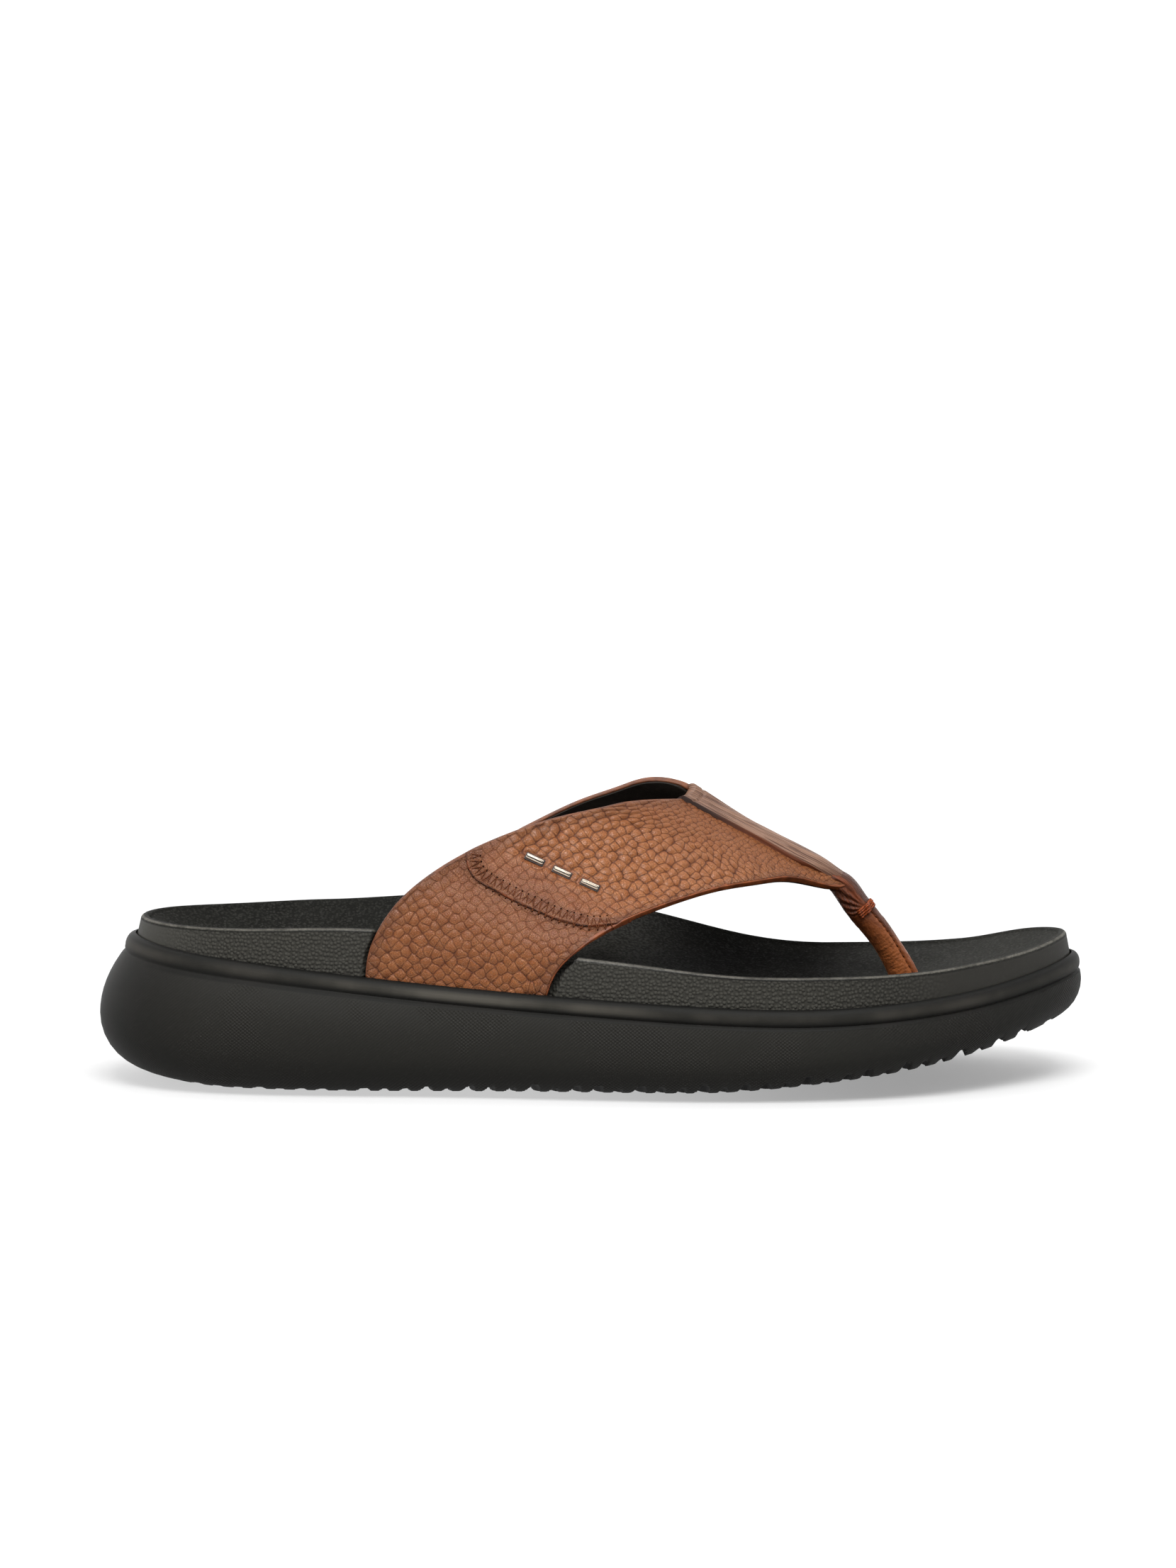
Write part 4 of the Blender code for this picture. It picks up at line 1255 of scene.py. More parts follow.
def postSurface(run, turn, lift):
    # turn 0 faces the outer side, 90 degrees the front
    row, before, after = (spline(postRun, postRows, run + step) for step in (0.0, -0.05, 0.05))
    ahead = unit(after[..., :3] - before[..., :3])
    side = unit(np.cross(ahead, [0.0, 0.0, 1.0]))
    front = np.cross(side, ahead)
    wide, deep = ((row[..., 3 + k] + lift) * shape(turn) for k, shape in enumerate((np.cos, np.sin)))
    return row[..., :3] + side * wide[..., None] + front * deep[..., None]


def buildPost(material):
    spec = postSpec
    run = np.linspace(0, postRun[-1], spec["rows"])
    turn = np.linspace(0, 2 * math.pi, spec["sides"], endpoint=False)
    run, turn = np.meshgrid(run, turn, indexing="ij")
    # angle from the flat faces, alike on both of them: 90 front, -90 rear
    face = np.degrees(np.arcsin(np.sin(turn)))
    arc = np.radians(face) * spec["radius"]
    # gathers fan out from the tack to the rear edge
    back = np.radians(spec["seamTurn"]) * spec["radius"] - arc
    above = spec["tack"] - run
    fan = np.degrees(np.arctan2(above, back)) + 4 * softNoise(run * 0.4, arc * 0.4 + 9, 5)
    gather = smooth(0.5, 4.5, np.hypot(back, above)) * smooth(-0.4, 1.2, above) * smooth(0, 1.5, back)
    folds = np.cos(2 * math.pi * fan / spec["foldTurn"])
    push = spec["foldDepth"] * folds * gather * smooth(-95, -45, face)
    # short cross wrinkles towards the foot
    start = spec["wrinkleFrom"]
    wave = (run - start) / spec["wrinkleGap"] + 0.3 * softNoise(run * 0.5, arc * 0.7 + 20, 41)
    uneven = 0.6 + 0.4 * softNoise(run * 0.8, arc * 0.8 + 30, 42)
    ripple = np.exp(-((wave - np.round(wave)) / 0.24) ** 2) * uneven
    reach = smooth(start - 4, start + 4, run) * smooth(-64, -34, face)
    push -= spec["wrinkle"] * ripple * reach * (1 - smooth(20, 32, face))
    # the front strip is sewn down along one line
    toSeam = np.radians(face - spec["seamTurn"]) * spec["radius"]
    sewn = smooth(spec["tack"] - 0.5, spec["tack"] + 0.8, run) * (1 - smooth(62, 86, face))
    sewn = (np.cos(turn) > 0) * sewn
    push -= spec["seamGroove"] * np.exp(-(toSeam / spec["seamHalf"]) ** 2) * sewn
    push += spec["seamStep"] * smooth(0.0, 0.4, toSeam) * sewn
    push += 0.06 * softNoise(run * 0.9, arc * 0.9 + 40, 43)
    mesh = tubeMesh("toe_post_tube", postSurface(run, turn, push))
    keepRings(mesh, "postPlace", np.stack([run, arc, toSeam], axis=-1))
    keepRings(mesh, "frontFace", smooth(0.0, 0.3, toSeam) * (np.cos(turn) > -0.2))
    print("toe post:", len(mesh.polygons), "faces")
    return newPiece("toe_post_tube", mesh, material, ["toe_post"], sharp=spec["sharp"])


# ridge strip: folded over the throat edge, along the ridge and round the front of the post

stripSpec = {
    "half": 0.052, "waist": 0.14, "top": 1.30, "wall": 1.35, "round": 0.16, "flare": 0.10,
    "foldMiddle": -1.29, "foldInner": 1.19, "foldFlat": 0.5, "inside": 7.0,
    "from": 174.3, "to": 228.6, "step": 0.36, "leaveStrap": 207.0, "onPost": 218.0,
    "arc": 58.0, "wrap": 18.0, "columns": 36, "crease": 0.07, "crossLine": 2.4, "crossDepth": 0.4,
    "sink": 0.85, "endSink": 1.1, "endFrom": 223.5, "sharp": 55.0,
}

# crest of the strip where it leaves the straps and bends down the post
stripFront = tableOf("along across height half", [
    (203.0, 8.7, 69.6, 4.7), (209.0, 9.2, 66.4, 4.6), (213.0, 9.6, 64.2, 4.4), (217.2, 9.9, 61.5, 4.3),
    (220.4, 10.1, 59.2, 4.2), (223.2, 10.2, 56.8, 4.1), (226.0, 10.4, 53.5, 4.1), (228.8, 10.8, 49.9, 4.1),
])


def stripOnStrap(along, across, lift):
    strap = across * stripSpec["half"] * (1 - stripSpec["waist"] * smooth(177, 201, along))
    # the tips of the straps are passed over
    width = ridgeShare(along) / tipStretch(strap)
    return strapPoints(strap, width) + strapNormals(strap, width) * lift[..., None]


def stripOnPost(along, across, lift):
    crest = np.column_stack(list(stripFront.values()))
    row, before, after = (spline(crest[:, 0], crest, along + step) for step in (0.0, -0.05, 0.05))
    ahead = unit(after[..., :3] - before[..., :3])
    side = unit(np.cross([0.0, 0.0, 1.0], ahead))
    up = np.cross(ahead, side)
    half = row[..., 3]
    arc = stripSpec["arc"] + stripSpec["wrap"] * smooth(203, 215, along) * (1 - smooth(219, 226, along))
    turn = np.radians(arc) * across
    radius = half + lift - stripSpec["top"]
    out = up * np.cos(turn)[..., None] + side * np.sin(turn)[..., None]
    return row[..., :3] - up * half[..., None] + out * radius[..., None]


def buildStrip(material):
    spec = stripSpec
    across = np.linspace(-1, 1, spec["columns"] + 1)
    across = np.sign(across) * (1 - (1 - np.abs(across)) ** 1.25)
    # the underside is a little wider, so the cut sides lean outward
    around = np.concatenate([across, across[::-1] * (1 + spec["flare"])])
    onTop = np.concatenate([np.ones_like(across), np.zeros_like(across)])
    along = np.arange(spec["from"], spec["to"], spec["step"])
    along, around, onTop = np.broadcast_arrays(along[:, None], around[None, :], onTop[None, :])
    # fine creases run lengthwise, a cross line is pressed in near the fold
    crease = softNoise(around * 7 + 30, along / 11, 51) + 0.7 * softNoise(around * 14 + 30, along / 6, 52)
    shape = spec["crease"] * crease * (1 - smooth(0.8, 1.0, np.abs(around)))
    shape = shape - spec["crossDepth"] * np.exp(-((along - spec["from"] - spec["crossLine"]) / 0.35) ** 2)
    drop = spec["round"] * smooth(0.88, 1.0, np.abs(around)) ** 2
    # on the post its sides and its end lie down into the leather
    drop = drop + spec["sink"] * smooth(0.5, 1.0, np.abs(around)) * smooth(211, 220, along)
    drop = drop + spec["endSink"] * smooth(spec["endFrom"], spec["to"], along)
    lift = np.where(onTop > 0, spec["top"] + shape - drop, spec["top"] - spec["wall"] - 0.1)
    share = smooth(spec["leaveStrap"], spec["onPost"], along)[..., None]
    body = stripOnStrap(along, around, lift) * (1 - share) + stripOnPost(along, around, lift) * share
    # the rear end folds down round the throat edge and runs back inside
    strap = around[0] * spec["half"]
    edge = strapPoints(strap, 0 * strap)
    normal = strapNormals(strap, 0 * strap)
    rearward = unit(edge - strapPoints(strap, 0 * strap + 0.02))
    outer = spec["top"] - spec["foldMiddle"] - spec["round"] * smooth(0.88, 1.0, np.abs(around[0])) ** 2
    radius = np.where(onTop[0] > 0, outer, spec["foldInner"])
    behind = np.where(onTop[0] > 0, 1.25 + spec["foldFlat"], spec["foldFlat"])
    fold = []
    for stepIn in np.linspace(spec["inside"], 0.6, 9):
        fold.append(edge - rearward * stepIn + normal * (spec["foldMiddle"] - radius)[:, None])
    for turn in np.radians(np.linspace(-90, 84, 18)):
        fold.append(edge + rearward * (math.cos(turn) * behind)[:, None]
                    + normal * (math.sin(turn) * radius + spec["foldMiddle"])[:, None])
    mesh = tubeMesh("ridge_strip_band", np.concatenate([np.stack(fold), body]))
    run = np.concatenate([spec["from"] - np.linspace(14, 0.4, len(fold)), along[:, 0]])
    run, around = np.broadcast_arrays(run[:, None], around[:1])
    keepRings(mesh, "stripPlace", np.stack([run, around * 5.0, 0 * run], axis=-1))
    keepRings(mesh, "cut", smooth(0.96, 1.0, np.abs(around)))
    print("ridge strip:", len(mesh.polygons), "faces")
    stands = ["ridge_strip"]
    return newPiece("ridge_strip_band", mesh, material, stands, sharp=spec["sharp"])


# stitches, needle holes and the bar tack

threadSpec = {
    "pitch": 1.05, "height": 4.2, "lean": 14.0, "radius": 0.17, "rise": 0.36, "holeRadius": 0.25,
    "drop": 0.75,
    "postPitch": 1.75, "postLength": 1.0, "postLean": 9.0, "postRadius": 0.16, "postRise": 0.4,
    "postDrop": 0.3, "postSunk": -0.12,
    "tackStrands": 6, "tackGap": 0.40, "tackRadius": 0.40, "tackFrom": -26.0, "tackTo": 92.0,
    "tackLump": 0.26, "tackSteps": 40,
    "threadSharp": 70.0, "holeSharp": 40.0,
}


def stitchPoints(flow, given):
    # even places along the sewn line, and a turn that follows the leather there
    curve = flow.add("GeometryNodeMeshToCurve", {}, {"Mesh": given("Geometry")})
    spacing = {"Curve": curve, "Length": given("Pitch")}
    even = flow.add("GeometryNodeResampleCurve", {"mode": "LENGTH"}, spacing)
    axes = {"primary_axis": "Z", "secondary_axis": "Y"}
    turn = flow.add("FunctionNodeAxesToRotation", axes, {0: kept(flow, "up"), 1: kept(flow, "across")})
    odd = flow.add("GeometryNodeInputIndex").maths("MODULO", 2.0)
    return even, turn, odd


def instances(flow, points, shape, turn):
    values = {"Points": points, "Instance": shape, "Rotation": turn}
    return flow.add("GeometryNodeInstanceOnPoints", {}, values)


def stitchTree():
    # strands that lean to and fro, each arched over the leather
    tree, flow, given = newTree("stitchRow", ("Pitch", "Height", "Lean", "Radius", "Rise", "Foot"))
    even, turn, odd = stitchPoints(flow, given)

    def end(sign, depth):
        place = {1: given("Height") * (0.5 * sign), 2: given("Foot") * depth}
        return flow.add("ShaderNodeCombineXYZ", {}, place)

    top = flow.add("ShaderNodeCombineXYZ", {}, {2: given("Rise")})
    arch = {"Resolution": 7, "Start": end(-1, 1.0), "Middle": top, "End": end(1, 0.35)}
    strand = flow.add("GeometryNodeCurveQuadraticBezier", {}, arch)
    circle = {"Resolution": 6, "Radius": given("Radius")}
    section = flow.add("GeometryNodeCurvePrimitiveCircle", {"mode": "RADIUS"}, circle)
    sweep = {"Curve": strand, "Profile Curve": section, "Fill Caps": True}
    thread = flow.add("GeometryNodeCurveToMesh", {}, sweep)
    lean = (odd * 2 - 1) * given("Lean")
    tilt = flow.add("FunctionNodeAxisAngleToRotation", {}, {"Axis": (0, 0, 1), "Angle": lean})
    local = {"rotation_space": "LOCAL"}
    turned = flow.add("FunctionNodeRotateRotation", local, {"Rotation": turn, "Rotate By": tilt})
    return closeTree(tree, flow, instances(flow, even, thread, turned), given("Finish"))


def holeTree():
    # a small dark disc of painted shade where each strand goes into the leather, at one end and then the
    # other
    tree, flow, given = newTree("needleHoles", ("Pitch", "Height", "Radius", "Drop"))
    even, turn, odd = stitchPoints(flow, given)
    aside = kept(flow, "ahead").scaled(given("Pitch") * 0.5)
    reach = kept(flow, "across").scaled((0.5 - odd) * given("Height"))
    down = kept(flow, "up").scaled(odd * given("Drop") * -1.0)
    values = {"Geometry": even, "Offset": aside.moved(reach).moved(down)}
    placed = flow.add("GeometryNodeSetPosition", {}, values)
    sizes = {"Vertices": 8, "Radius": given("Radius"), "Depth": given("Radius") * 0.4}
    disc = flow.add("GeometryNodeMeshCylinder", {"fill_type": "NGON"}, sizes)
    return closeTree(tree, flow, instances(flow, placed, disc, turn), given("Finish"))


def sewnLine(points, across, up):
    # a chain of edges that carries the directions a stitch needs
    mesh = bpy.data.meshes.new("line")
    mesh.from_pydata(placedPoints(points).tolist(), [(k, k + 1) for k in range(len(points) - 1)], [])
    ahead = unit(np.gradient(points, axis=0))
    for label, vectors in (("across", across), ("up", up), ("ahead", ahead)):
        keepValues(mesh, label, vectors)
    return mesh


def sew(name, line, tree, material, sharp, lean=None, **sizes):
    # runs a tree along a line and makes a piece of it; sizes in millimetres, lean in degrees
    inputs = {label: size * mm for label, size in sizes.items()}
    if lean:
        inputs["Lean"] = math.radians(lean)
    made = settle(sewnLine(*line), tree, Finish=material, **inputs)
    print(name + ":", len(made.polygons), "faces")
    return newPiece(name, made, material, sharp=sharp)


def strapSeam(side):
    # the middle of the zigzag, and the same line for its holes
    spec = threadSpec
    width = np.linspace(0.035, 0.965, 160)
    seam = seamAt(width, side)
    reach = (spec["height"] / 2 - 0.3) / strapSpec["strapLength"]
    strap = seam - side * reach
    base, normal = strapPoints(strap, width), strapNormals(strap, width)
    across = unit(base - strapPoints(seam, width))
    ahead = unit(np.gradient(base, axis=0))
    across = unit(across - ahead * (across * ahead).sum(axis=1)[:, None])
    lift = panelLift(np.abs(strap), np.full_like(strap, spec["height"] / 2)) + 0.06
    return base + normal * lift[:, None], across, normal


def buildThreads(thread, hole):
    spec = threadSpec
    stitches, holes = stitchTree(), holeTree()
    for side, label in ((-1, "outer"), (1, "inner")):
        line = strapSeam(side)
        sew(label + "_seam_thread", line, stitches, thread, spec["threadSharp"], spec["lean"],
            Pitch=spec["pitch"], Height=spec["height"], Radius=spec["radius"], Rise=spec["rise"],
            Foot=-spec["drop"])
        sew(label + "_seam_holes", line, holes, hole, spec["holeSharp"],
            Pitch=spec["pitch"], Height=spec["height"], Radius=spec["holeRadius"], Drop=spec["drop"])
    # running stitches down the front of the post
    run = np.linspace(postSpec["tack"] + 1.6, postRun[-1] - 2.5, 60)
    turn = np.full_like(run, math.radians(postSpec["seamTurn"]))
    points = postSurface(run, turn, spec["postSunk"])
    normal = unit(postSurface(run, turn, 1.0) - points)
    line = (points, unit(np.gradient(points, axis=0)), normal)
    sew("post_seam_thread", line, stitches, thread, spec["threadSharp"], spec["postLean"],
        Pitch=spec["postPitch"], Height=spec["postLength"], Radius=spec["postRadius"],
        Rise=spec["postRise"], Foot=-spec["postDrop"])


def buildTack(material):
    # bar tack: strands laid side by side round the neck of the post
    spec = threadSpec
    share = np.linspace(0, 1, spec["tackSteps"])
    turn = np.radians(np.linspace(spec["tackFrom"], spec["tackTo"], spec["tackSteps"]))
    rounds = np.linspace(0, 2 * math.pi, 7)[:-1]
    meshes = []
    for strand in range(spec["tackStrands"]):
        off = (strand - (spec["tackStrands"] - 1) / 2) * spec["tackGap"]
        wobble = 0.16 * softNoise(turn * 2.5 + strand * 1.7, turn * 0 + strand, 61)
        run = postSpec["tack"] + off + wobble
        # pulled tight into three lumps, with both ends sunk in
        lump = np.cos(np.linspace(0, 6 * math.pi, spec["tackSteps"]) + 0.5 * strand)
        rise = 0.2 + 0.2 * (strand % 2) - spec["tackLump"] * lump
        rise = rise - 0.9 * (1 - smooth(0.0, 0.1, share) * (1 - smooth(0.92, 1.0, share)))
        middle = postSurface(run, turn, rise)
        ahead = unit(np.gradient(middle, axis=0))
        out = unit(postSurface(run, turn, rise + 1.0) - middle)
        side = np.cross(ahead, out)
        ring = [middle + (out * math.sin(t) + side * math.cos(t)) * spec["tackRadius"] for t in rounds]
        meshes.append(tubeMesh("strand", np.stack(ring, axis=1)))
    mesh = joinMeshes("bar_tack", meshes)
    print("bar tack:", len(mesh.polygons), "faces")
    return newPiece("bar_tack", mesh, material, sharp=spec["threadSharp"])


threadLooks = {
    "brown_thread": {"dark": (56, 26, 10), "pale": (92, 47, 21), "roughness": 0.55, "gloss": 0.12},
    "needle_hole_shade": {"dark": (18, 8, 4), "pale": (30, 13, 7), "roughness": 0.7, "gloss": 0.0},
    "tack_thread": {"dark": (46, 19, 7), "pale": (134, 60, 22), "roughness": 0.4, "gloss": 0.15},
}


def threadMaterial(name):
    look = threadLooks[name]
    material, shader, flow = newMaterial(name, Specular_IOR_Level=look["gloss"])
    twist = noise(flow, objectPlace(flow), 3.2, 3.0)
    colour = blended(flow, twist.ranged(0.35, 0.65), paint(*look["dark"]), paint(*look["pale"]))
    normal = bumped(flow, twist, 0.08, 0.6)
    wire(shader, Base_Color=colour, Roughness=look["roughness"] + twist * 0.2, Normal=normal)
    return material


# metal bars, each on a dark bed of painted shade

# share of the length, and size of the section there
barEnds = ((-0.5, 0.84), (-0.485, 0.95), (-0.45, 1.0), (0.0, 1.0), (0.45, 1.0), (0.485, 0.95), (0.5, 0.84))


def plateOutline(length, width, radius):
    # a rectangle with round corners
    points = []
    for x, y, start in ((1, 1, 0), (-1, 1, 90), (-1, -1, 180), (1, -1, 270)):
        for t in np.radians(start + np.linspace(0, 90, 5)):
            points.append((x * (length / 2 - radius) + radius * math.cos(t),
                           y * (width / 2 - radius) + radius * math.sin(t)))
    return points


def buildBars(metal, bed):
    spec = barSpec
    beds = []
    turns = np.linspace(0, math.pi, 15)
    across = np.concatenate([np.cos(turns), [-1, 1]])
    corner = plateOutline(spec["bedLength"], spec["bedWidth"], spec["round"])
    for number, (place, ahead, side, up) in enumerate(barFrames(), start=1):
        at = lambda x, y, z: place + ahead * x + side * y + up * (spec["lift"] + z)
        rings = []
        for share, grow in barEnds:
            x = share * spec["length"]
            half, tall = spec["width"] / 2 * grow, spec["height"] * grow
            ring = [at(x, half * math.cos(t), tall * math.sin(t) ** spec["crown"]) for t in turns]
            ring += [at(x, y * half, -spec["sunk"]) for y in (-1, 1)]
            rings.append(ring)
        mesh = tubeMesh("bar", np.array(rings))
        keepRings(mesh, "barAcross", np.tile(across, len(rings)))
        stands = ["metal_bar_%d" % number]
        newPiece("bar_%d" % number, mesh, metal, stands, sharp=spec["sharp"])
        plate = [[at(x * grow, y * grow, z) for x, y in corner]
                 for grow, z in ((1.0, -0.6), (1.0, -0.06), (0.97, 0.0))]
        beds.append(tubeMesh("bed", np.array(plate)))
    mesh = joinMeshes("bar_beds", beds)
    print("bars:", len(beds))
    return newPiece("bar_beds", mesh, bed, sharp=spec["sharp"])


metalTones = {
    "dull": (186, 174, 158), "bright": (206, 194, 178), "line": (46, 38, 32),
}


def metalMaterial():
    material, shader, flow = newMaterial("polished_bar", Metallic=1.0)
    tone = paints(metalTones)
    brush = noise(flow, objectPlace(flow).stretched(0.3, 1.0, 2.0), 3.0, 3.0)
    # a dark line along the middle, a painted reflection
    across = stored(flow, "barAcross")
    paintedReflection = across.ranged(-0.62, -0.30) * (1 - across.ranged(-0.05, 0.25))
    colour = blended(flow, brush, tone["dull"], tone["bright"])
    colour = colour.mixed(tone["line"], paintedReflection * 0.9)
    wire(shader, Base_Color=colour, Roughness=0.12 + brush * 0.1)
    return material


bedShadeTones = {
    "dark": (20, 12, 9), "pale": (34, 20, 14),
}


def bedShadeMaterial():
    material, shader, flow = newMaterial("bar_bed")
    tone = paints(bedShadeTones)
    cloud = noise(flow, objectPlace(flow), 1.2, 2.0)
    colour = blended(flow, cloud, tone["dark"], tone["pale"])
    wire(shader, Base_Color=colour, Roughness=0.5 + cloud * 0.2)
    return material


stripTones = {
    "dark": (66, 40, 27), "pale": (112, 83, 66), "fine": (130, 102, 86), "patch": (78, 45, 27),
    "bend": (58, 27, 13), "rawRear": (34, 17, 9), "rawFront": (84, 40, 17),
}


def stripMaterial():
    material, shader, flow = newMaterial("creased_strip_leather", Specular_IOR_Level=0.3)
    tone = paints(stripTones)
    where = stored(flow, "stripPlace", out=1)
    cut = stored(flow, "cut")
    run = where.axis(0)
    # lines drawn out along the strip
    drawn = where.stretched(0.03, 1.0, 1.0)
    streak = noise(flow, drawn, 2.3, 1.0)
    fine = noise(flow, drawn, 5.0, 2.0)
    patch = noise(flow, where, 0.35, 3.0)
    colour = blended(flow, streak.ranged(0.40, 0.54), tone["dark"], tone["pale"])
    colour = colour.mixed(tone["fine"], fine.ranged(0.52, 0.66) * 0.5)
    colour = colour.mixed(tone["patch"], patch.ranged(0.52, 0.75) * 0.25)
    # darker where it bends down the post, brown raw leather on the cut sides
    colour = colour.mixed(tone["bend"], run.ranged(212.0, 224.0) * 0.75)
    raw = blended(flow, run.ranged(180.0, 198.0), tone["rawRear"], tone["rawFront"])
    colour = colour.mixed(raw, cut)
    normal = bumped(flow, streak + fine * 0.5, 0.34, 0.9)
    wire(shader, Base_Color=colour, Roughness=0.38 + streak * 0.15, Normal=normal)
    return material


postTones = {
    "shadedNeck": (88, 41, 16), "foot": (128, 72, 36), "patch": (60, 27, 9), "frontShade": (58, 30, 20),
    "frontFoot": (100, 50, 20), "raw": (98, 44, 15), "worn": (150, 100, 60), "pulled": (40, 17, 6),
}


def postMaterial():
    material, shader, flow = newMaterial("dark_post_leather", Specular_IOR_Level=0.28)
    tone = paints(postTones)
    where = stored(flow, "postPlace", out=1)
    run, toSeam = where.axis(0), where.axis(2)
    patch = noise(flow, where, 0.4, 3.0)
    fine = noise(flow, where.stretched(1.0, 0.35, 1.0), 1.6, 4.0)
    # darker at the neck: the leather's own darker tone with painted shadow under the strap
    colour = blended(flow, run.ranged(9.0, 30.0), tone["shadedNeck"], tone["foot"])
    colour = colour.mixed(tone["patch"], patch.ranged(0.45, 0.7) * 0.4)
    # the sewn front strip: dark above in painted shade, orange brown towards the foot
    front = stored(flow, "frontFace")
    colour = colour.mixed(tone["frontShade"], front * (1 - run.ranged(22.0, 32.0)) * 0.8)
    colour = colour.mixed(tone["frontFoot"], front * run.ranged(22.0, 34.0) * 0.7)
    # raw edge of the folded strap, from its tip to the tack
    raw = toSeam.ranged(-1.6, -1.2) * (1 - toSeam.ranged(-0.5, 0.0)) * (1 - run.ranged(12.5, 14.0))
    colour = colour.mixed(tone["raw"], raw * 0.8)
    worn = fine.ranged(0.6, 0.75) * run.ranged(18.0, 30.0)
    colour = colour.mixed(tone["worn"], worn * 0.35)
    # drawn lengthwise above the tack
    pulled = noise(flow, where.stretched(0.12, 1.0, 1.0), 1.8, 3.0)
    upper = 1 - run.ranged(11.0, 15.0)
    colour = colour.mixed(tone["pulled"], pulled.ranged(0.46, 0.60) * upper * 0.6)
    normal = bumped(flow, fine + pulled * upper * 3.0, 0.24, 0.9)
    wire(shader, Base_Color=colour, Roughness=0.36 + patch * 0.2, Normal=normal)
    return material


leatherTones = {
    "base": (112, 57, 19), "paleBase": (124, 67, 25), "flat": (88, 40, 8), "dome": (136, 82, 38),
    "seamDark": (74, 36, 13), "hair": (186, 136, 92), "rim": (164, 112, 70), "valleyShade": (74, 35, 11),
    "crease": (54, 24, 8), "patch": (82, 42, 16), "edge": (70, 38, 20), "rawDark": (52, 22, 9),
    "rawPale": (112, 50, 17),
}


def leatherMaterial():
    fixed = {"Specular_IOR_Level": 0.33, "Coat_Roughness": 0.24}
    material, shader, flow = newMaterial("brown_pebbled_leather", **fixed)
    tone = paints(leatherTones)
    grain = stored(flow, "grain", out=1)
    flat = stored(flow, "flat")
    place = objectPlace(flow)
    cloud = noise(flow, place, 0.055, 3.0)
    patch = noise(flow, place, 0.22, 3.0)
    edge = cells(flow, grain, 1.0, random=pebbleSpread)
    broken = noise(flow, grain, 1.3, 2.0).ranged(0.38, 0.62)
    crease = (1 - edge.ranged(0.0, 0.12)) * (0.35 + broken * 0.65)
    dome = pebbleDome(flow, grain)
    # hairlines of two sizes take turns over the surface
    coarse = (1 - cells(flow, grain, 1.3).ranged(0.0, 0.05)) * broken
    hair = coarse.maths("MAXIMUM", (1 - cells(flow, grain, 2.1).ranged(0.0, 0.06)) * (1 - broken))
    finest = 1 - cells(flow, grain, 4.3).ranged(0.0, 0.12)
    pore = noise(flow, grain, 6.0, 3.0)
    colour = blended(flow, cloud.ranged(0.35, 0.68), tone["base"], tone["paleBase"])
    colour = colour.mixed(tone["flat"], flat * 0.6)
    # painted highlight: the pebble tops are paler
    colour = colour.mixed(tone["dome"], dome * (1 - flat) * 0.6)
    # darker along the seam; on the tab this is painted shadow under the panel's edge
    colour = colour.mixed(tone["seamDark"], stored(flow, "seamDarkness") * 0.45)
    colour = colour.mixed(tone["hair"], hair * (0.15 + flat * 0.45) * patch.ranged(0.30, 0.55))
    # painted highlight: pale rims beside the creases
    rim = edge.ranged(0.07, 0.13) * (1 - edge.ranged(0.14, 0.26)) * (1 - broken)
    colour = colour.mixed(tone["rim"], rim * (1 - flat * 0.6) * 0.4)
    # painted shade in the hollows between the pebbles
    colour = colour.mixed(tone["valleyShade"], (1 - dome) ** 3.0 * (1 - flat) * 0.6)
    colour = colour.mixed(tone["crease"], crease * (1 - flat * 0.6) * 0.68)
    colour = colour.mixed(tone["patch"], patch.ranged(0.55, 0.8) * 0.4)
    # darker dye rubbed in along the cut edges, orange raw leather on the cut itself
    nearEdges = 1 - stored(flow, "rimGap").ranged(0.3, 6.0)
    colour = colour.mixed(tone["edge"], nearEdges * 0.4)
    raw = blended(flow, patch.ranged(0.45, 0.6), tone["rawDark"], tone["rawPale"])
    colour = colour.mixed(raw, stored(flow, "rawEdge"))
    roughness = 0.34 + patch * 0.16 + crease * 0.2 + flat * 0.14
    height = dome * (1 - flat * 0.7) - crease * 0.55 - hair * 0.5 - finest * 0.3 + pore * 0.5
    normal = bumped(flow, height, 0.40, 0.9)
    coat = (0.02 + dome * 0.09) * (1 - flat * 0.8) * patch.ranged(0.3, 0.6, 0.5, 1.0)
    wire(shader, Base_Color=colour, Roughness=roughness, Coat_Weight=coat, Normal=normal)
    return material


liningTones = {
    "dark": (20, 16, 13), "pale": (32, 27, 23),
}


def liningMaterial():
    material, shader, flow = newMaterial("black_lining", Specular_IOR_Level=0.12)
    tone = paints(liningTones)
    place = objectPlace(flow)
    fine = cells(flow, place, 1.4, flat=False).ranged(0.0, 0.25)
    streak = noise(flow, place.stretched(0.15, 1.0, 1.0), 0.8, 3.0)
    colour = blended(flow, streak, tone["dark"], tone["pale"])
    normal = bumped(flow, fine, 0.08, 0.4)
    wire(shader, Base_Color=colour, Roughness=0.5 + streak * 0.2, Normal=normal)
    return material


# the rear edges face up and get a darker copy, the front edges face down and a paler one: painted shade and
# painted light
edgeTones = {
    "frontDark": (82, 39, 15), "frontPale": (122, 62, 26),
    "rearDark": (70, 36, 17), "rearPale": (100, 56, 30), "fibre": (70, 33, 13),
}


def edgeMaterial(label):
    material, shader, flow = newMaterial(label + "_cut_edge", Specular_IOR_Level=0.3)
    tone = paints(edgeTones)
    place = objectPlace(flow)
    cloud = noise(flow, place, 0.35, 4.0)
    fibre = noise(flow, place.stretched(1.0, 1.0, 3.0), 2.2, 3.0)
    colour = blended(flow, cloud.ranged(0.3, 0.7), tone[label + "Dark"], tone[label + "Pale"])
    colour = colour.mixed(tone["fibre"], fibre.ranged(0.55, 0.75) * 0.5)
    normal = bumped(flow, fibre, 0.12, 0.5)
    wire(shader, Base_Color=colour, Roughness=0.42 + cloud * 0.2, Normal=normal)
    return material


# floor, light and camera

